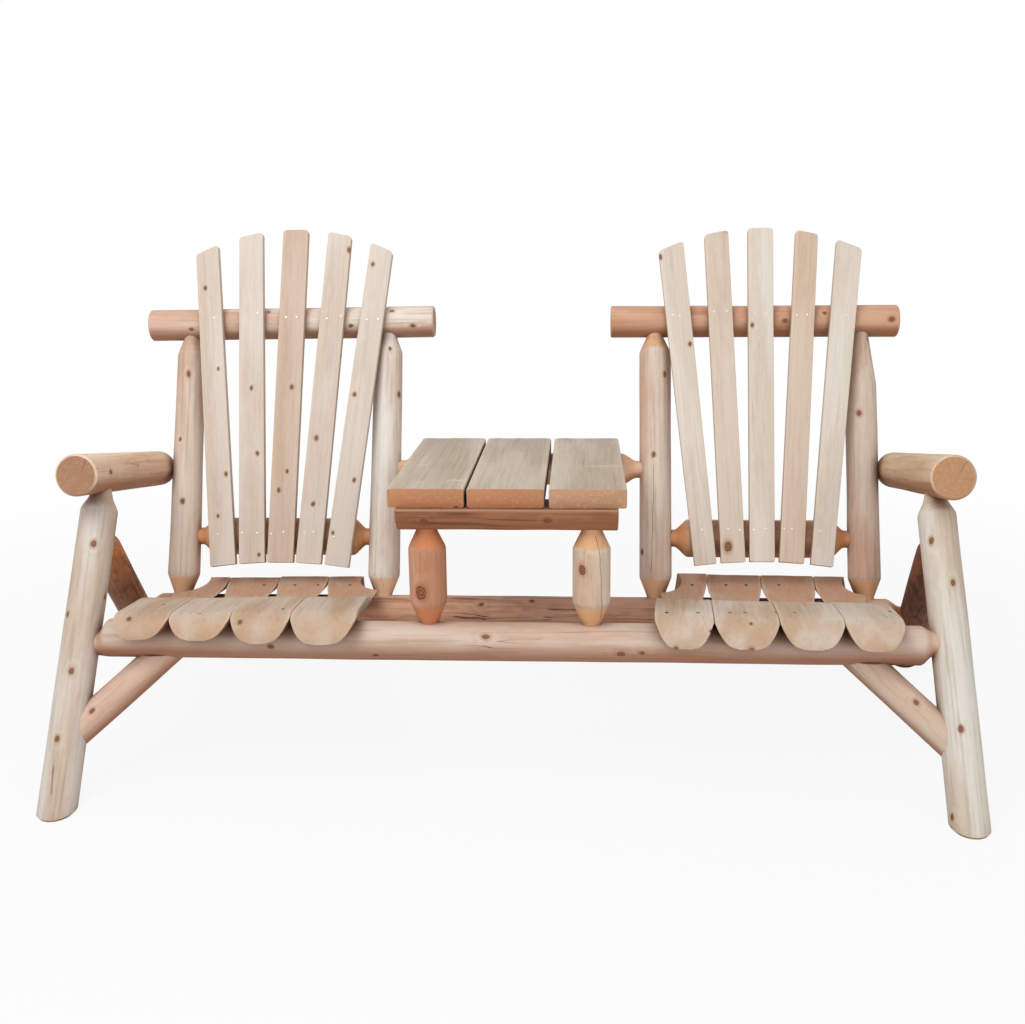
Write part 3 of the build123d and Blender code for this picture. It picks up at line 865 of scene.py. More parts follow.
def pointAlong(points, distance):
    for (x, z), (nextX, nextZ) in zip(points, points[1:]):
        length = math.hypot(nextX - x, nextZ - z)
        if distance <= length and length:
            return between(x, nextX, distance / length), between(z, nextZ, distance / length)
        distance -= length
    return points[-1]


def halfSection(outline, drop):
    # From the middle of the top to the middle of the belly, with the number of points always the same.
    below = [point for point in outline if point[1] < -drop - 0.01]
    above = [point for point in outline if point[1] >= -drop - 0.01][-1]
    nextX, nextZ = below[0]
    edgeX = between(above[0], nextX, (above[1] + drop) / max(above[1] - nextZ, 0.001))
    side = [(edgeX, -drop)] + below
    length = sum(math.dist(first, second) for first, second in zip(side, side[1:]))
    share = seatSlat["edgeShare"]
    rounding = min(seatSlat["edge"], edgeX * share, length * share)
    sideX, sideZ = pointAlong(side, rounding)
    count = seatSteps["top"]
    points = [((edgeX - rounding) * step / count, -drop, 0.0) for step in range(count)]
    for step in range(seatSteps["edge"] + 1):
        u = step / seatSteps["edge"]
        x = (1 - u) ** 2 * (edgeX - rounding) + 2 * u * (1 - u) * edgeX + u * u * sideX
        z = -((1 - u) ** 2 + 2 * u * (1 - u)) * drop + u * u * sideZ
        points.append((x, z, 1.0))
    count = seatSteps["side"]
    for step in range(1, count + 1):
        points.append((*pointAlong(side, between(rounding, length, step / count)), 0.0))
    points[-1] = (0.0, side[-1][1], 0.0)
    return points


def seatStations(depth, seat, tail):
    noseRadius = depth + seatSlat["noseOverDepth"]
    crest, crestBack = noseRadius - seatSlat["noseReach"], seatSlat["crestBack"]
    lowest = math.asin(min(1.0, (noseRadius - depth + seatSlat["noseTip"]) / noseRadius))
    stations = []
    for step in range(seatSteps["nose"] + 1):
        turn = between(lowest, math.pi / 2, step / seatSteps["nose"])
        stations.append((crest - noseRadius * math.cos(turn), noseRadius * (1 - math.sin(turn))))
    for step in range(1, seatSteps["crest"]):
        stations.append((between(crest, crestBack, step / seatSteps["crest"]), 0.0))
    for step in range(seatSteps["scoop"] + 1):
        s = between(crestBack, tail, step / seatSteps["scoop"])
        stations.append((s, scoopDrop(s, seat)))
    return stations


seatFall = math.radians(seatSlat["fall"])
seatBack = Vector((0, math.cos(seatFall), -math.sin(seatFall)))
seatHeight = bench["frontRailHeight"] + seatSlat["riseOverRail"]


def makeSeatSlat(name, side, number, lowEdge, highEdge, depth, drop, sideShare):
    seat = seats[side]
    spread = math.radians(seat["splay"]) * side
    grain = Vector((math.sin(spread), 0, 0)) + seatBack * math.cos(spread)
    upWay = Vector((
        math.sin(spread) * math.sin(seatFall),
        math.cos(spread) * math.sin(seatFall),
        math.cos(seatFall),
    ))
    sideways = upWay.cross(grain)
    outward = side if sideways.x > 0 else -side
    tailShear = -sideways.dot(seatBack) / grain.dot(seatBack)
    tail = seat["tail"] / math.cos(spread)
    outerTrim = seat["outerTrim"] if number == 1 else 0.0
    halfWidth = (highEdge - lowEdge) * math.cos(spread) / 2 - seatSlat["gap"] / 2
    outline = logOutline(halfWidth, depth, sideShare)
    middle = Vector(((lowEdge + highEdge) / 2, bench["frontRailY"], seatHeight)) - upWay * drop
    seed = Vector((number * seatSlat["seedStep"] + side * 3, 2, 0))
    swellLength, swellWidth = seatSlat["swellLength"], seatSlat["swellWidth"]
    rings = []
    for s, topDrop in seatStations(depth, seat, tail):
        planing = clamped((seatSlat["planedBack"] - s) / seatSlat["planedRun"])
        trim = outerTrim * clamped((seatSlat["trimBack"] - s) / seatSlat["trimRun"])
        behind = max(0.0, (s - seatSlat["crestBack"]) / (tail - seatSlat["crestBack"]))
        sweep = outward * seatSlat["noseSweep"] * max(0.0, -s / seatSlat["noseReach"]) ** 2
        half = halfSection(planedOutline(outline, planing), topDrop)
        ring = []
        for y, z, wear in half + [(-x, z, wear) for x, z, wear in reversed(half[1:-1])]:
            wave = noise.noise(seed + Vector((s / swellLength, y / swellWidth, z / swellLength)))
            swell = seatSlat["swell"] * wave
            shifted = y + sweep - outward * trim * max(0.0, y * outward / halfWidth)
            ring.append((s + tailShear * y * behind, shifted, z + swell, wear))
        ring.reverse()
        rings.append(ring)
    node = f"{name}_seat_slat_{number}"
    pieces[node] = Piece(node, "seat_cedar", rings, axesMatrix(grain, sideways, upWay, middle))


for name, side in sides:
    seat = seats[side]
    rows = zip(seat["edges"], seat["edges"][1:], seat["depths"], seat["drops"], seat["sideShares"])
    for number, row in enumerate(rows, start=1):
        makeSeatSlat(name, side, number, *row)

# Table
table = {
    "fall": 2.0,
    "bearerRise": 345.0,
    "boardWidth": 152.0,
    "leftGap": 5.0,
    "rightGap": 8.5,
    "frontReach": 585.0,
    "backReach": -4.0,
    "stubSetBack": 10.0,
    "stubX": {-1: -160.0, 1: 169.0},
    "stubInBearer": 22.0,
    "cone": 37.0,
    "neck": 10.0,
}
tableBoard = {"thickness": 38.0, "corners": (7.0, 4.0), "edge": 3.5, "count": 26, "wave": 0.8}
frontBearer = {
    "radius": 50.0,
    "reaches": (216.0, 220.0),
    "ease": 2.0,
    "lump": 0.02,
    "lumpLength": 90,
    "lumpWidth": 30,
    "steps": 20,
    "around": 24,
    "across": 8,
}
tableFall = math.radians(table["fall"])
tableBack = Vector((0, math.cos(tableFall), -math.sin(tableFall)))
tableUp = Vector((0, math.sin(tableFall), math.cos(tableFall)))
boardFoot = backPoint(0, table["bearerRise"]) + tableUp * (fullRadius + bench["fitGap"])
boardLength = table["frontReach"] + table["backReach"]
boardXs = (-table["boardWidth"] - table["leftGap"], 0.0, table["boardWidth"] + table["rightGap"])
for number, x in enumerate(boardXs, start=1):
    boardEnd = boardFoot + tableBack * table["backReach"] + railWay * x
    makeBoard(
        f"table_board_{number}",
        "board_cedar",
        axesMatrix(-tableBack, tableUp.cross(-tableBack), tableUp, boardEnd),
        tableBoard,
        lambda y: 0.0,
        lambda y: boardLength,
        lambda s: table["boardWidth"] / 2,
    )

bearerNeck, bearerCone = poleNeck + table["neck"], table["cone"] - table["neck"]
bearerEnd = tenonEnd(tenonTip, bearerNeck, bearerCone, tenonRadius, fullRadius)
bearerEnds = [backPoint(x, table["bearerRise"]) for x in (-bench["innerPostX"], bench["innerPostX"])]
makePole("table_rear_bearer", *bearerEnds, bearerEnd, bearerEnd)

bearerBack = (boardFoot.y - bench["frontRailY"] - table["stubSetBack"]) / tableBack.y
bearerCentre = boardFoot - tableBack * bearerBack - tableUp * bench["fitGap"]


def makeFrontBearer():
    # A half log, flat side up
    left, right = frontBearer["reaches"]
    length, ease, steps = left + right, frontBearer["ease"], frontBearer["steps"]
    around, across = frontBearer["around"], frontBearer["across"]
    lumpLength, lumpWidth = frontBearer["lumpLength"], frontBearer["lumpWidth"]
    inner = [length * (step / steps) for step in range(1, steps)]
    rings = []
    for s in (0.0, ease, *inner, length - ease, length):
        atEnd = s in (0.0, length)
        radius = frontBearer["radius"] - (ease if atEnd else 0.0)
        top = -ease if atEnd else 0.0
        ring = []
        for turn in range(around + 1):
            angle = math.radians(180 + 180 * turn / around)
            y, z = math.cos(angle) * radius, min(math.sin(angle) * radius, top)
            wave = noise.noise(Vector((s / lumpLength, y / lumpWidth, z / lumpWidth)))
            lump = 1.0 + frontBearer["lump"] * wave
            ring.append((s, y * lump, z * lump, 1.0 if turn in (0, around) or atEnd else 0.0))
        for turn in range(1, across):
            ring.append((s, radius - 2 * radius * turn / across, top, 1.0 if atEnd else 0.0))
        rings.append(ring)
    matrix = axesMatrix(railWay, tableUp.cross(railWay), tableUp, bearerCentre - railWay * left)
    pieces["table_front_bearer"] = Piece("table_front_bearer", "arm_cedar", rings, matrix)


makeFrontBearer()
railTop = math.sqrt(rails["frontRadius"] ** 2 - table["stubSetBack"] ** 2)
stubFoot = tenonEnd(tenonTip, railTop + bench["neckGap"], footCone, tenonRadius, fullRadius)
stubTip = frontBearer["radius"] - table["stubInBearer"]
stubNeck = frontBearer["radius"] + bench["neckGap"]
stubHead = tenonEnd(stubTip, stubNeck, table["cone"], tenonRadius, fullRadius)
stubY = bench["frontRailY"] + table["stubSetBack"]
for name, side in sides:
    heights = (bench["frontRailHeight"], bearerCentre.z)
    stubEnds = [Vector((table["stubX"][side], stubY, height)) for height in heights]
    makePole(f"table_stub_post_{name}", *stubEnds, stubFoot, stubHead)

print("OK shapes of", len(pieces), "pieces")

# Wood: one solid grain for each piece, X along it, so that faces, edges, ends and notches agree.
# Each noise has its changes per metre along the grain and across it, and its detail.
grain = {
    "wander": (1.5, 8.0, 1.0),
    "wobble": (22.0, 60.0, 1.0),
    "patch": (2.2, 13.0, 3.0),
    "streak": (5.0, 150.0, 4.0),
    "fibre": (28.0, 900.0, 2.0),
    "bark": (30.0, 70.0, 4.0),
    "check": (2.4, 70.0, 1.5),
    "checkPatch": (3.0, 18.0, 2.0),
    "smudge": (20.0, 24.0, 1.5),
    "saw": (110.0, 16.0, 3.0),
    "sawPatch": (7.0, 9.0, 2.0),
    "spoke": (2.4, 2.4, 1.0),
}
drifts = {"wobble": 3.0, "wander": 11.0}
# Where each look fades in, where it is full, and how full
fades = {
    "late": (0.12, 0.5, 1.0),
    "warmPatch": (0.4, 0.62, 1.0),
    "latePatch": (0.25, 0.6, 1.0),
    "darkStreak": (0.52, 0.74, 1.0),
    "paleStreak": (0.46, 0.24, 1.0),
    "line": (0.5, 0.72, 0.4),
    "lineFacing": (0.5, 0.15, 1.0),
    "fibre": (0.5, 0.8, 0.25),
    "rearShadeSmudge": (0.32, 0.6, 0.45),
    "noseSmudge": (0.3, 0.72, 0.5),
    "bark": (0.44, 0.68, 1.0),
    # Painted shadow of the seat on the rear legs: where the band starts and where it ends
    "legShadowStart": (0.12, 0.24, 1.0),
    "legShadowEnd": (0.45, 0.28, 0.5),
    "sawPatch": (0.5, 0.66, 1.0),
    "saw": (0.44, 0.7, 1.0),
    # Painted shade in creases: where it fades in as the occlusion closes
    "creaseShade": (0.88, 0.2, 0.8),
    "end": (0.7, 0.9, 1.0),
    "endStreak": (0.5, 0.7, 0.5),
    "split": (0.012, 0.003, 1.0),
    "wornFacing": (0.9, 0.6, 0.35),
    "check": (0.009, 0.003, 1.0),
    "checkPatch": (0.58, 0.68, 1.0),
    "checkFacing": (0.7, 0.5, 1.0),
    "checkKnot": (0.9, 1.4, 1.0),
    "knotPush": (5.0, 0.5, 1.0),
    "halo": (2.2, 1.0, 0.7),
    "core": (1.06, 0.86, 1.0),
    "turns": (-1.0, 1.0, 1.0),
    "rim": (0.14, 0.03, 1.0),
    "rimStreak": (0.4, 0.6, 0.65),
    "rough": (0.3, 0.75, 0.16),
}
# Lightness and warmth against the middle tone
tints = {
    "pale": (1.045, -0.03),
    "blush": (0.95, 0.15),
    "late": (0.8, 0.17),
    "paleStreak": (1.07, -0.04),
    "fibre": (0.86, 0.08),
    "cone": (1.06, 0.34),
    "sawn": (1.12, -0.05),
    "halo": (0.84, 0.34),
    "end": (1.03, 0.0),
    "endLate": (0.8, 0.15),
    "endPale": (1.13, -0.08),
}
deepWarmth = 0.13
bumps = {"streak": 0.35, "fibre": 0.14, "late": 0.12, "saw": 0.4, "core": 0.5, "rim": -0.5, "check": -1.0}
gloss = {"roughness": 0.52, "specular": 0.3, "bump": 0.8}
knot = {
    "dark": (96, 54, 36),
    "light": (150, 98, 70),
    "black": (62, 40, 30),
    "flow": 5.0,
    "long": 0.72,
    "rings": 13.0,
    "rimAt": 0.97,
    "heart": 0.9,
    "hiddenEvery": 330.0,
    "hiddenRadii": (3.0, 6.0),
}
crack = {"tone": (84, 58, 44), "width": 0.8, "sharp": 0.4, "depth": 16.0, "share": 0.75}
# Painted shade in creases and where pieces meet: its tone and the occlusion's samples
creaseShade = {"tone": (110, 66, 42), "samples": 4}
coneSkin = (1.8, 5.0)
# How far down a face must turn for the full under tone, which is partly painted shade
undersideFull = 0.6

# How each finish grows, is cut and wears. Lengths in millimetres, the rest are shares.
plainFinish = {
    "checks": 0.15, "saw": 0.0, "end": 1.0, "spokes": 0.0, "deep": 0.84, "freshTo": 3000.0,
    "underFrom": 0.0, "under": 0.8, "endLate": 0.26, "creaseShadeReach": 50.0, "browningAndShade": (),
}
finishes = {
    "peeled_cedar": {
        "spacing": 4.4, "pith": (3, -2), "late": 0.2, "streak": 0.4, "patch": 0.75,
        "checks": 0.6, "spokes": 0.4, "fresh": 0.8,
    },
    "shaded_cedar": {
        "spacing": 4.4, "pith": (-3, 2), "late": 0.4, "streak": 0.9, "patch": 1.0,
        "deep": 0.6, "bark": 0.8, "under": 0.5, "checks": 0.7, "spokes": 0.4, "fresh": 0.2,
    },
    "arm_cedar": {
        "spacing": 5.2, "pith": (4, 3), "late": 0.3, "streak": 0.4, "patch": 0.6,
        "checks": 0.7, "spokes": 0.3, "fresh": 0.0,
    },
    "back_slat_cedar": {"spacing": 3.4, "pith": (12, -55), "late": 0.12, "streak": 0.16, "patch": 0.4},
    "seat_cedar": {
        "spacing": 4.8, "pith": (0, 7), "late": 0.07, "streak": 0.4, "patch": 0.95,
        "checks": 0.0, "end": 0.0,
        # tone, from and to along the log, smudge, least share
        "browningAndShade": (
            # The rear row is partly painted shade under the back, partly the wood's own browner tone
            ((202, 156, 124), 190.0, 430.0, "rearShadeSmudge", 0.45),
            ((190, 154, 124), -20.0, -72.0, "noseSmudge", 0.25),
        ),
    },
    "board_cedar": {
        "spacing": 4.0, "pith": (18, -70), "late": 0.14, "streak": 0.25, "patch": 0.8,
        "endLate": 0.5, "blush": (174, 157, 138), "saw": 0.8,
    },
}
ownFinishes = {
    "table_front_bearer": {"late": 0.7, "streak": 1.0, "deep": 0.5, "checks": 0.9, "under": 0.3},
    "table_stub_post": {"under": 0.3},
    "table_rear_bearer": {"fresh": 0.4},
    "front_leg": {"fresh": 0.3},
    "rear_leg_left": {"bark": 0.45},
    "knee_brace": {"blush": (198, 152, 122)},
    "knee_brace_right": {"blush": (206, 174, 150)},
    # On the front rail the under tone starts higher and the crease darkening reaches further: painted shade
    # under the seat noses
    "front_rail": {
        "underFrom": -0.45, "patch": 0.7, "fresh": 0.3, "blush": (206, 168, 144), "creaseShadeReach": 110.0,
    },
    "rear_rail": {"late": 0.5, "streak": 0.9, "deep": 0.58, "checks": 0.9},
    "left_lower_back_rail": {"under": 0.4},
    "right_lower_back_rail": {"under": 0.4},
    "left_top_rail": {"patch": 0.8, "late": 0.3, "blush": (208, 160, 132), "deep": 0.76, "creaseShadeReach": 25.0},
    "right_top_rail": {"patch": 0.9, "late": 0.3, "deep": 0.7, "creaseShadeReach": 25.0},
    "left_outer_post": {"freshTo": 120.0, "blush": (206, 164, 138), "under": 0.1},
    "left_inner_post": {"freshTo": 120.0, "blush": (212, 176, 152), "patch": 0.6, "under": 0.1},
    "right_inner_post": {"blush": (204, 162, 138), "under": 0.1},
    "right_outer_post": {"freshTo": 120.0, "blush": (200, 160, 138), "under": 0.1},
}

# The middle tone of each piece, and of its sawn ends where they differ
tones = {
    "front_leg_left": (207, 196, 185),
    "front_leg_right": (212, 205, 194),
    "rear_leg_left": (214, 148, 106),
    # The right rear leg's tone is darker than the left's for painted shade
    "rear_leg_right": (124, 74, 52),
    "knee_brace_left": (208, 179, 160),
    "knee_brace_right": (210, 194, 178),
    "front_rail": (204, 183, 167),
    "rear_rail": (214, 172, 148),
    "arm_left": (226, 196, 170),
    "arm_right": (210, 184, 154),
    "left_outer_post": (216, 199, 183),
    "left_inner_post": (224, 217, 207),
    "right_inner_post": (215, 198, 182),
    "right_outer_post": (208, 190, 173),
    "left_top_rail": (224, 210, 195),
    "right_top_rail": (206, 162, 134),
    "left_lower_back_rail": (214, 182, 154),
    "right_lower_back_rail": (210, 176, 148),
    "left_back_slat": (210, 198, 186),
    "left_back_slat_3": (200, 178, 160),
    "right_back_slat": (217, 208, 196),
    "right_back_slat_2": (211, 195, 180),
    "right_back_slat_4": (209, 188, 170),
    "left_seat_slat": (192, 175, 158),
    "right_seat_slat": (200, 187, 172),
    "table_front_bearer": (158, 104, 72),
    "table_rear_bearer": (222, 194, 172),
    "table_stub_post_left": (198, 149, 120),
    "table_stub_post_right": (216, 196, 177),
    "table_board": (185, 171, 154),
}
endTones = {
    "arm_left": (166, 127, 98),
    "arm_right": (184, 140, 104),
    "table_board": (190, 134, 96),
    "table_board_3": (190, 150, 118),
}
plainEnd = (190, 152, 122)
# Bark, and the painted shadow of the seat on the rear legs
barkAndShadowTone = (66, 40, 28)
streakTone = (205, 180, 165)
# Undersides: partly painted shade, partly weathering
underShadeAndWeatherTone = (160, 104, 71)
rimTone = (226, 208, 188)

# Knots and cracks that the photograph shows: knots by pixel and radius in millimetres, cracks end to end
knotPixels = {
    "front_leg_left": ((93.6, 544, 5.6), (105, 597, 3.7), (67.5, 614, 4.3), (71.5, 671, 5), (57, 739, 4.3)),
    "front_leg_right": ((931, 541, 5), (953, 582.5, 4.3), (961, 729, 5), (952, 817, 4.3)),
    "knee_brace_left": ((92, 711, 4.3),),
    "knee_brace_right": ((916, 702, 4.3),),
    "front_rail": ((271, 647, 4.3), (376, 655, 4.3), (486, 637, 5), (621, 654, 5.6), (642, 653, 3.7)),
    "rear_rail": ((481, 604.5, 4.3), (532, 601, 3.7)),
    "left_outer_post": ((188.5, 374, 5), (182.5, 501, 4.3), (180, 439, 3.1)),
    "left_inner_post": ((399, 394.5, 5), (390, 348.5, 3.7)),
    "right_inner_post": ((665, 374, 5), (654, 455, 4.3), (642, 552, 4.3)),
    "right_outer_post": ((859, 413, 5),),
    "left_top_rail": (
        (413, 326, 4.3), (392, 311, 3.7), (351, 326, 3.7), (261, 325, 5), (268.5, 312, 3.1), (191, 329, 4.3),
    ),
    "right_top_rail": ((892, 319.5, 5), (785, 321, 4.3), (824.5, 313, 3.1)),
    "left_back_slat_1": ((205, 288, 3.7), (218, 369, 3.1), (226, 474, 3.7), (218, 516, 3.1)),
    "left_back_slat_2": ((251.5, 388, 3.7), (257.5, 453, 3.7), (259, 554.5, 3.1)),
    "left_back_slat_3": ((292, 387, 3.7), (279, 490, 3.7), (287, 471, 3.1)),
    "left_back_slat_4": ((349.5, 250, 4.5), (341, 356, 3.7), (316, 438, 4.3), (313, 504, 3.7)),
    "left_back_slat_5": ((373, 264, 3.7), (354.5, 394, 3.7), (354, 480, 3.7), (333, 533, 3.1)),
    "right_back_slat_1": ((660, 257, 4.3), (690, 344, 3.7)),
    "right_back_slat_2": ((728, 546.5, 8.5),),
    "right_back_slat_3": ((752, 325, 3.7),),
    "right_back_slat_4": ((817, 284, 3.1),),
    "left_seat_slat_1": ((129, 619, 4),),
    "left_seat_slat_3": ((240, 622, 4),),
    "right_seat_slat_1": ((710.5, 630.8, 3),),
    "right_seat_slat_2": ((750.6, 624, 3),),
    "arm_left": ((110.8, 472, 4),),
    "table_front_bearer": ((424, 521, 4.3), (548, 520.5, 4.3)),
    "table_stub_post_left": ((421, 593, 10),),
    "table_stub_post_right": ((582, 570, 7.5),),
}
crackPixels = {
    "left_seat_slat_2": ((180, 610, 203, 615),),
    "arm_left": ((108.4, 462, 110.6, 471),),
    "table_stub_post_right": ((596, 536, 600.5, 618),),
    "right_inner_post": ((654, 465, 651.5, 572),),
    "rear_rail": ((470, 600, 560, 597),),
}


def familyValue(table, node, fallback=None):
    # A piece's own entry, or that of the family whose name its own begins with
    family = [key for key in table if node.startswith(key)]
    return table[max(family, key=len)] if family else fallback


def tinted(middle, lightness, warmth):
    red, green, blue = middle
    shades = (red * lightness, green * lightness * (1 - warmth / 2), blue * lightness * (1 - warmth))
    return tone(*(min(shade, 250) for shade in shades))


def markPiece(piece):
    dice = random.Random(piece.node)
    for u, v, radius in knotPixels.get(piece.node, ()):
        spot = piece.seenAt(u, v)[0]
        if spot:
            piece.knots.append((spot, radius * metres))
    length = max(point.x for point in piece.points) - min(point.x for point in piece.points)
    for count in range(max(1, round(length / metres / knot["hiddenEvery"]))):
        spot = piece.hiddenSpot(dice)
        if spot:
            piece.knots.append((spot, dice.uniform(*knot["hiddenRadii"]) * metres))
    for startU, startV, endU, endV in crackPixels.get(piece.node, ()):
        start, normal = piece.seenAt(startU, startV)
        end = piece.seenAt(endU, endV)[0]
        if start and end:
            outward = piece.place.to_3x3().inverted() @ normal
            piece.cracks.append((start, end, Vector((0, outward.y, outward.z)).normalized()))


# One piece's material. Each step lays its look over the colour or adds to the height of the bump.
class Wood:
    def __init__(self, piece):
        self.piece = piece
        self.finish = {**plainFinish, **finishes[piece.slot], **familyValue(ownFinishes, piece.node, {})}
        self.middle = familyValue(tones, piece.node)
        self.material, self.nodes = newMaterial(piece.node + "_cedar")
        coordinates = self.nodes.put("ShaderNodeTexCoord").outputs
        inputs = {
            "Vector": coordinates["Object"],
            "Location": piece.place.translation,
            "Rotation": piece.place.to_euler(),
        }
        self.normal = coordinates["Normal"]
        self.place = self.nodes.put("ShaderNodeMapping", inputs, vector_type="TEXTURE").outputs[0]
        dice = random.Random(piece.node + "grain")
        shift = Vector([dice.uniform(0, 90) for axis in "xyz"])
        self.shifted = self.nodes.vector("ADD", self.place, shift)
        self.along = self.nodes.vector("DOT_PRODUCT", self.place, railWay)
        grainWay = piece.place.to_3x3() @ railWay
        self.facing = self.nodes.math("ABSOLUTE", self.nodes.vector("DOT_PRODUCT", self.normal, grainWay))
        self.patch, self.streak, self.fibre = (self.value(key) for key in ("patch", "streak", "fibre"))
        self.height = None

    def noise(self, key, place):
        along, across, detail = grain[key]
        return self.nodes.noise(place, (along, across, across), detail)

    def value(self, key):
        return self.noise(key, self.shifted).outputs[0]

    def drifted(self, place, key):
        colour = self.noise(key, self.shifted).outputs["Color"]
        centred = self.nodes.vector("SUBTRACT", colour, (0.5, 0.5, 0.5))
        return self.nodes.vector("ADD", place, self.nodes.scaled(centred, 2 * drifts[key] * metres))

    def fade(self, value, key, share=1.0):
        low, high, top = fades[key]
        return self.nodes.ramp(value, low, high, top * share)

    def tint(self, key, middle=None):
        return tinted(middle or self.middle, *tints[key])

    def lay(self, share, colour, how="MIX"):
        self.colour = self.nodes.mix(share, self.colour, colour, how)

    def lift(self, value, key, share=1.0):
        raised = self.nodes.times(value, bumps[key] * share * metres)
        self.height = self.nodes.plus(self.height, raised) if self.height else raised

    def nearestKnot(self, place):
        nodes, nearest = self.nodes, None
        for centre, radius in self.piece.knots:
            away = nodes.vector("SUBTRACT", place, centre)
            squeezed = nodes.vector("MULTIPLY", away, (knot["long"] / radius, 1 / radius, 1 / radius))
            distance = nodes.vector("LENGTH", squeezed)
            nearest = nodes.math("MINIMUM", nearest, distance) if nearest else distance
        return nearest

    def crackMask(self, place):
        # A crack lies on the skin: its distance is measured square to the skin's direction there.
        nodes, mask = self.nodes, None
        width, depth = crack["width"] * metres, crack["depth"] * metres
        for start, end, outward in self.piece.cracks:
            run = end - start
            away = nodes.vector("SUBTRACT", place, start)
            share = nodes.vector("DOT_PRODUCT", away, run)
            share = nodes.math("DIVIDE", share, run.length_squared, clamp=True)
            off = nodes.vector("SUBTRACT", away, nodes.scaled(run, share))
            line = nodes.vector("LENGTH", nodes.vector("CROSS_PRODUCT", off, outward))
            line = nodes.ramp(line, width, width * crack["sharp"])
            outside = nodes.vector("DOT_PRODUCT", away, outward)
            line = nodes.times(line, nodes.math("GREATER_THAN", outside, -depth))
            mask = nodes.math("MAXIMUM", mask, line) if mask else line
        return mask

    def growRings(self):
        # Growth rings round the pith, pushed aside by the knots
        nodes = self.nodes
        self.wobbled = self.drifted(self.place, "wobble")
        bent = self.drifted(self.wobbled, "wander")
        self.near = self.nearestKnot(self.wobbled)
        pith = Vector((0, *self.finish["pith"])) * metres
        self.fromPith = nodes.vector("MULTIPLY", nodes.vector("SUBTRACT", bent, pith), (0, 1, 1))
        reach = nodes.vector("LENGTH", self.fromPith)
        if self.near:
            reach = nodes.plus(reach, self.fade(self.near, "knotPush", knot["flow"] * metres))
        ring = nodes.math("FRACT", nodes.math("DIVIDE", reach, self.finish["spacing"] * metres))
        self.late = self.fade(nodes.distance(ring, 0.5), "late")

    def colourSkin(self):
        finish, streak = self.finish, self.streak
        blush = tone(*finish["blush"]) if "blush" in finish else self.tint("blush")
        self.colour = self.tint("pale")
        self.lay(self.fade(self.patch, "warmPatch", finish["patch"]), blush)
        lateShare = self.nodes.times(self.late, self.fade(self.patch, "latePatch", finish["late"]))
        self.lay(lateShare, self.tint("late"))
        deep = tinted(self.middle, finish["deep"], deepWarmth)
        self.lay(self.fade(streak, "darkStreak", finish["streak"]), deep)
        self.lay(self.fade(streak, "paleStreak", finish["streak"]), self.tint("paleStreak"))
        self.lay(self.fade(self.fibre, "fibre"), self.tint("fibre"))
        for value, key in ((streak, "streak"), (self.fibre, "fibre"), (self.late, "late")):
            self.lift(value, key)

    def brownAndShadeSeat(self):
        # The rear and the nose of a seat are browner, in smudges; at the rear this is partly painted shade
        # under the back
        smudge = self.value("smudge")
        for smudgeTone, start, end, key, least in self.finish["browningAndShade"]:
            share = self.nodes.ramp(self.along, start * metres, end * metres)
            share = self.nodes.times(share, self.nodes.plus(self.fade(smudge, key), least))
            self.lay(share, tone(*smudgeTone))

    def warmUnderside(self):
        # What faces the ground is browner and warmer: partly painted shade, partly weathering, as the sun
        # bleaches the upper faces more
        nodes, finish = self.nodes, self.finish
        down = nodes.times(nodes.vector("DOT_PRODUCT", self.normal, skyward), -1.0)
        share = nodes.ramp(down, finish["underFrom"], undersideFull, finish["under"])
        self.lay(share, tone(*underShadeAndWeatherTone))
        lines = self.fade(self.streak, "line", finish["streak"])
        self.lay(nodes.times(lines, self.fade(self.facing, "lineFacing")), tone(*streakTone), "MULTIPLY")

    def leaveBarkAndSeatShadow(self):
        self.lay(self.fade(self.value("bark"), "bark", self.finish["bark"]), tone(*barkAndShadowTone))
        # Painted shadow of the seat: a darker band down the rear leg, from about 120 to 450 mm below the
        # joint
        shaded = self.nodes.times(self.fade(self.along, "legShadowStart"), self.fade(self.along, "legShadowEnd"))
        self.lay(shaded, tone(*barkAndShadowTone))

    def freshenCones(self):
        # The tenon cutter leaves its cones fresher and warmer than the peeled skin
        nodes, finish = self.nodes, self.finish
        offAxis = nodes.vector("LENGTH", nodes.vector("MULTIPLY", self.place, (0, 1, 1)))
        low, high = ((self.piece.bodyRadius - skin) * metres for skin in coneSkin)
        share = nodes.ramp(offAxis, low, high, finish["fresh"])
        share = nodes.times(share, nodes.math("LESS_THAN", self.along, finish["freshTo"] * metres))
        self.lay(share, self.tint("cone"))

    def sawFaces(self):
        # Rough sawing crosses the grain
        saw = self.nodes.times(self.value("saw"), self.fade(self.value("sawPatch"), "sawPatch"))
        self.lay(self.fade(saw, "saw", self.finish["saw"]), self.tint("sawn"))
        self.lift(saw, "saw", self.finish["saw"])

    def paintCreaseShade(self):
        # Painted shade: darker in creases and where pieces meet, by ambient occlusion
        inputs = {"Distance": self.finish["creaseShadeReach"] * metres}
        inside = self.nodes.put("ShaderNodeAmbientOcclusion", inputs, samples=creaseShade["samples"])
        self.lay(self.fade(inside.outputs["AO"], "creaseShade"), tone(*creaseShade["tone"]))

    def showEnds(self):
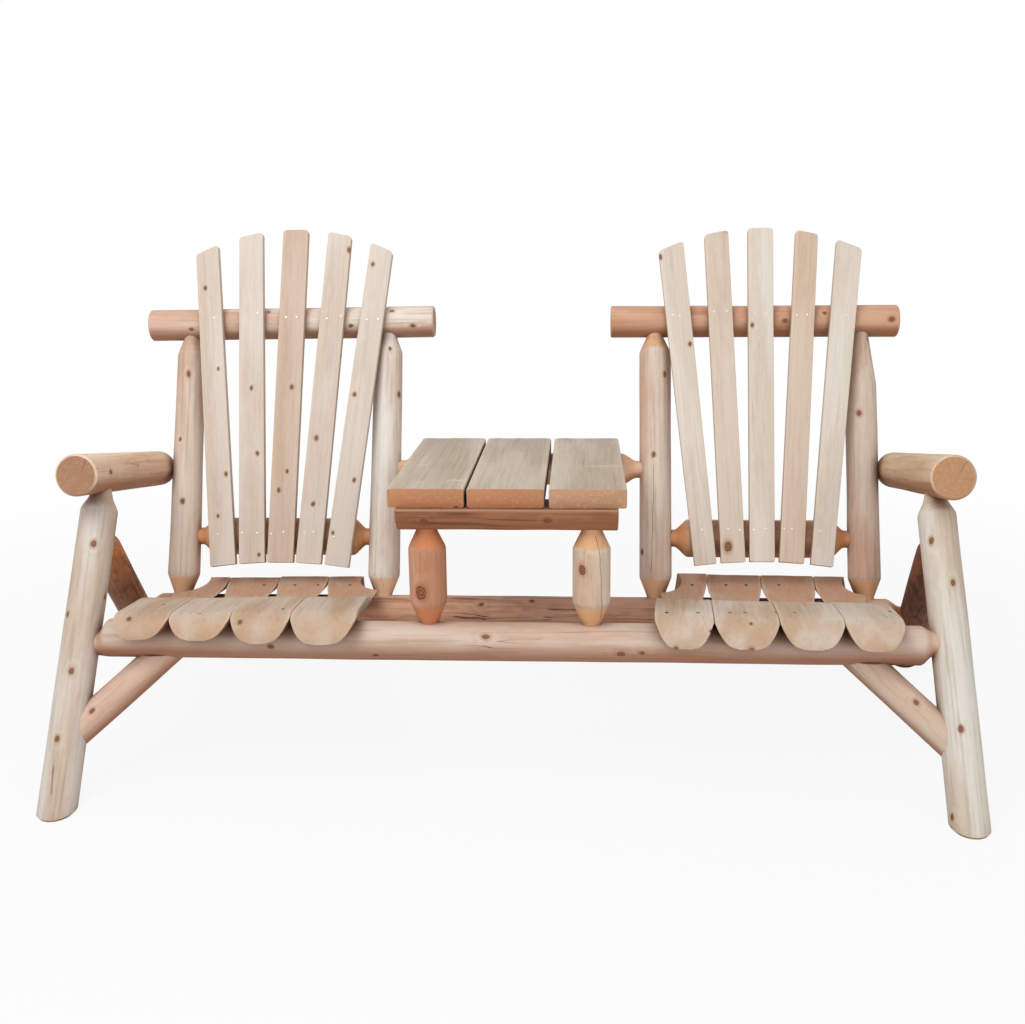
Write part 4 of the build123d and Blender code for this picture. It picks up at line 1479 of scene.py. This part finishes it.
        # Ends: closer tone, strong rings and spokes from the pith; edges: worn pale
        nodes, finish = self.nodes, self.finish
        middle = familyValue(endTones, self.piece.node, plainEnd)
        spoke = self.noise("spoke", nodes.vector("NORMALIZE", self.fromPith)).outputs[0]
        split = self.fade(nodes.distance(spoke, 0.5), "split")
        late = nodes.times(self.late, finish["endLate"])
        colour = nodes.mix(late, self.tint("end", middle), self.tint("endLate", middle))
        colour = nodes.mix(self.fade(self.streak, "endStreak"), colour, self.tint("endPale", middle))
        colour = nodes.mix(nodes.times(split, finish["spokes"]), colour, tone(*crack["tone"]))
        self.lay(self.fade(self.facing, "end", finish["end"]), colour)
        wear = nodes.put("ShaderNodeAttribute", attribute_name="wear").outputs["Fac"]
        worn = nodes.times(nodes.times(wear, wear), self.fade(self.facing, "wornFacing"))
        self.lay(worn, tone(*rimTone))

    def showKnots(self):
        nodes, near = self.nodes, self.near
        core = self.fade(near, "core")
        turns = nodes.math("SINE", nodes.times(near, knot["rings"]))
        self.lay(self.fade(near, "halo"), self.tint("halo"))
        heart = nodes.mix(self.fade(turns, "turns"), tone(*knot["dark"]), tone(*knot["light"]))
        self.lay(nodes.times(core, knot["heart"]), heart)
        rim = self.fade(nodes.distance(near, knot["rimAt"]), "rim")
        rim = nodes.times(rim, self.fade(self.streak, "rimStreak"))
        self.lay(rim, tone(*knot["black"]))
        self.lift(core, "core")
        self.lift(rim, "rim")

    def openChecks(self):
        # Drying checks, in patches and clear of the knots, and the cracks that the photograph shows
        nodes = self.nodes
        lines = self.fade(nodes.distance(self.value("check"), 0.5), "check")
        checks = nodes.times(lines, self.fade(self.value("checkPatch"), "checkPatch"))
        checks = nodes.times(checks, self.fade(self.facing, "checkFacing", self.finish["checks"]))
        if self.near:
            checks = nodes.times(checks, self.fade(self.near, "checkKnot"))
        cracks = self.crackMask(self.wobbled)
        if cracks:
            checks = nodes.math("MAXIMUM", checks, nodes.times(cracks, crack["share"]))
        self.lay(checks, tone(*crack["tone"]))
        self.lift(checks, "check")

    def surface(self):
        nodes = self.nodes
        inputs = {"Height": self.height, "Strength": gloss["bump"], "Distance": 1.0}
        nodes.surface({
            "Base Color": self.colour,
            "Roughness": nodes.plus(self.fade(self.streak, "rough"), gloss["roughness"]),
            "Normal": nodes.put("ShaderNodeBump", inputs).outputs[0],
            "Specular IOR Level": gloss["specular"],
        })


def makeWood(piece):
    wood = Wood(piece)
    wood.growRings()
    wood.colourSkin()
    if wood.finish["browningAndShade"]:
        wood.brownAndShadeSeat()
    wood.warmUnderside()
    if "bark" in wood.finish:
        wood.leaveBarkAndSeatShadow()
    if piece.bodyRadius:
        wood.freshenCones()
    if wood.finish["saw"]:
        wood.sawFaces()
    # Painted shade in creases and where pieces meet
    wood.paintCreaseShade()
    wood.showEnds()
    if wood.near:
        wood.showKnots()
    wood.openChecks()
    wood.surface()
    return wood.material


for piece in pieces.values():
    markPiece(piece)
print("OK knots and cracks", sum(len(piece.knots) for piece in pieces.values()))

# Round clearances where the outer seat logs pass the posts: the post's X and the gap round it
notches = {
    "left_seat_slat_1": (-bench["outerPostX"], 26.0),
    "left_seat_slat_4": (-bench["innerPostX"], 18.0),
    "right_seat_slat_1": (bench["innerPostX"], 24.0),
    "right_seat_slat_4": (bench["outerPostX"], 14.0),
}
notchReach = 400.0
notchSegments = 96


def notchCutter(x, gap):
    radius = (fullRadius + gap) * metres
    bm = bmesh.new()
    bmesh.ops.create_cone(
        bm,
        cap_ends=True,
        segments=notchSegments,
        radius1=radius,
        radius2=radius,
        depth=2 * notchReach * metres,
    )
    mesh = bpy.data.meshes.new("notchCutter")
    bm.to_mesh(mesh)
    bm.free()
    cutter = addObject("notchCutter", mesh)
    cutter.matrix_world = axesMatrix(railWay, postWay.cross(railWay), postWay, backPoint(x, 0) * metres)
    return cutter


for node, piece in pieces.items():
    material = makeWood(piece)
    cutter = notchCutter(*notches[node]) if node in notches else None
    piece.build(material, cutter)
    if cutter:
        bpy.data.objects.remove(cutter)
print("OK wood on", len(pieces), "pieces")

# Nail heads: bright on the backs, dark and flatter on the seats
nails = {
    "back": {
        "metal": "brightNail", "radius": 2.6, "rise": 0.7,
        "light": (240, 234, 226), "dark": (214, 206, 196), "metallic": 0.5, "roughness": 0.3,
    },
    "seat": {
        "metal": "darkNail", "radius": 3.8, "rise": 0.4,
        "light": (74, 60, 50), "dark": (40, 31, 26), "metallic": 0.35, "roughness": 0.62,
    },
}
nailSkin = {
    "around": 14,
    "sunk": 1.2,
    "rings": ((1.0, 0.0), (0.96, 0.5), (0.7, 0.85), (0.35, 1.0)),
    "sharpAngle": 60,
    "spots": (700.0, 700.0, 700.0),
}
# Their pixels, by the family of slats that they hold
nailPixels = {
    "left_back": (
        (214, 317.5), (257.5, 313), (286, 317), (296.5, 317), (326.7, 318.5), (341, 316), (366.7, 319.5),
        (378, 319), (217.7, 534), (242, 533), (257, 533), (271, 534), (283, 532), (304, 533), (313, 532),
        (333.6, 537),
    ),
    "right_back": (
        (673, 315), (680, 316), (714, 311.7), (726.7, 311), (755, 313), (766.7, 313), (797, 315),
        (807.5, 314.7), (834.7, 313.8), (846.7, 315), (702, 530), (728.5, 529), (740, 530), (754, 530),
        (766.4, 529), (784.5, 529), (792, 529), (820.6, 531),
    ),
    "left_seat": ((264, 585), (295, 585), (318, 585), (350, 585), (163.7, 604.5), (283, 609)),
    "right_seat": (
        (692, 585), (726, 585), (746, 585), (779, 585), (666.7, 612.6), (698, 612.6), (730, 612.6),
        (745, 612.6), (776.5, 612.6), (795, 612.6), (890, 611.6),
    ),
}


def makeNailMetal(nail):
    material, nodes = newMaterial(nail["metal"])
    place = nodes.put("ShaderNodeTexCoord").outputs["Object"]
    spots = nodes.noise(place, nailSkin["spots"], 3.0).outputs[0]
    bump = nodes.put("ShaderNodeBump", {"Height": spots, "Strength": 0.3, "Distance": 0.1 * metres})
    nodes.surface({
        "Base Color": nodes.mix(nodes.ramp(spots, 0.4, 0.65), tone(*nail["light"]), tone(*nail["dark"])),
        "Roughness": nodes.plus(nodes.ramp(spots, 0.3, 0.7, 0.2), nail["roughness"]),
        "Metallic": nail["metallic"],
        "Normal": bump.outputs[0],
    })
    return material


def nailedSpot(family, u, v):
    # The nearest of the family's pieces under a pixel, with its skin's direction
    found = []
    for node, piece in pieces.items():
        if node.startswith(family):
            spot, normal = piece.seenAt(u, v)
            if spot:
                spot = piece.place @ spot
                found.append(((spot - eye).length, spot, normal))
    return min(found, key=lambda hit: hit[0])[1:] if found else (None, None)


def makeNails(family, nail, material):
    points, faces = [], []
    around = nailSkin["around"]
    rings = [(1.0, -nailSkin["sunk"])]
    rings += [(share, nail["rise"] * rise) for share, rise in nailSkin["rings"]]
    for u, v in nailPixels[family]:
        spot, normal = nailedSpot(family + "_slat", u, v)
        if spot is None:
            continue
        turn = normal.to_track_quat("Z", "Y")
        first = len(points)
        for share, height in rings:
            reach = nail["radius"] * share
            for step in range(around):
                angle = 2 * math.pi * step / around
                offset = Vector((math.cos(angle) * reach, math.sin(angle) * reach, height))
                points.append(spot + turn @ (offset * metres))
        faces += bandFaces(first, around, len(rings))
        faces.append(tuple(range(len(points) - around, len(points))))
        faces.append(tuple(reversed(range(first, first + around))))
    mesh = bpy.data.meshes.new(family + "_nails")
    mesh.from_pydata(points, [], faces)
    mesh.materials.append(material)
    smoothen(mesh, nailSkin["sharpAngle"])
    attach(addObject(family + "_nails", mesh), "root")


metals = {kind: makeNailMetal(nail) for kind, nail in nails.items()}
for family in nailPixels:
    kind = family.split("_")[1]
    makeNails(family, nails[kind], metals[kind])
print("OK nails")

bpy.context.view_layer.update()
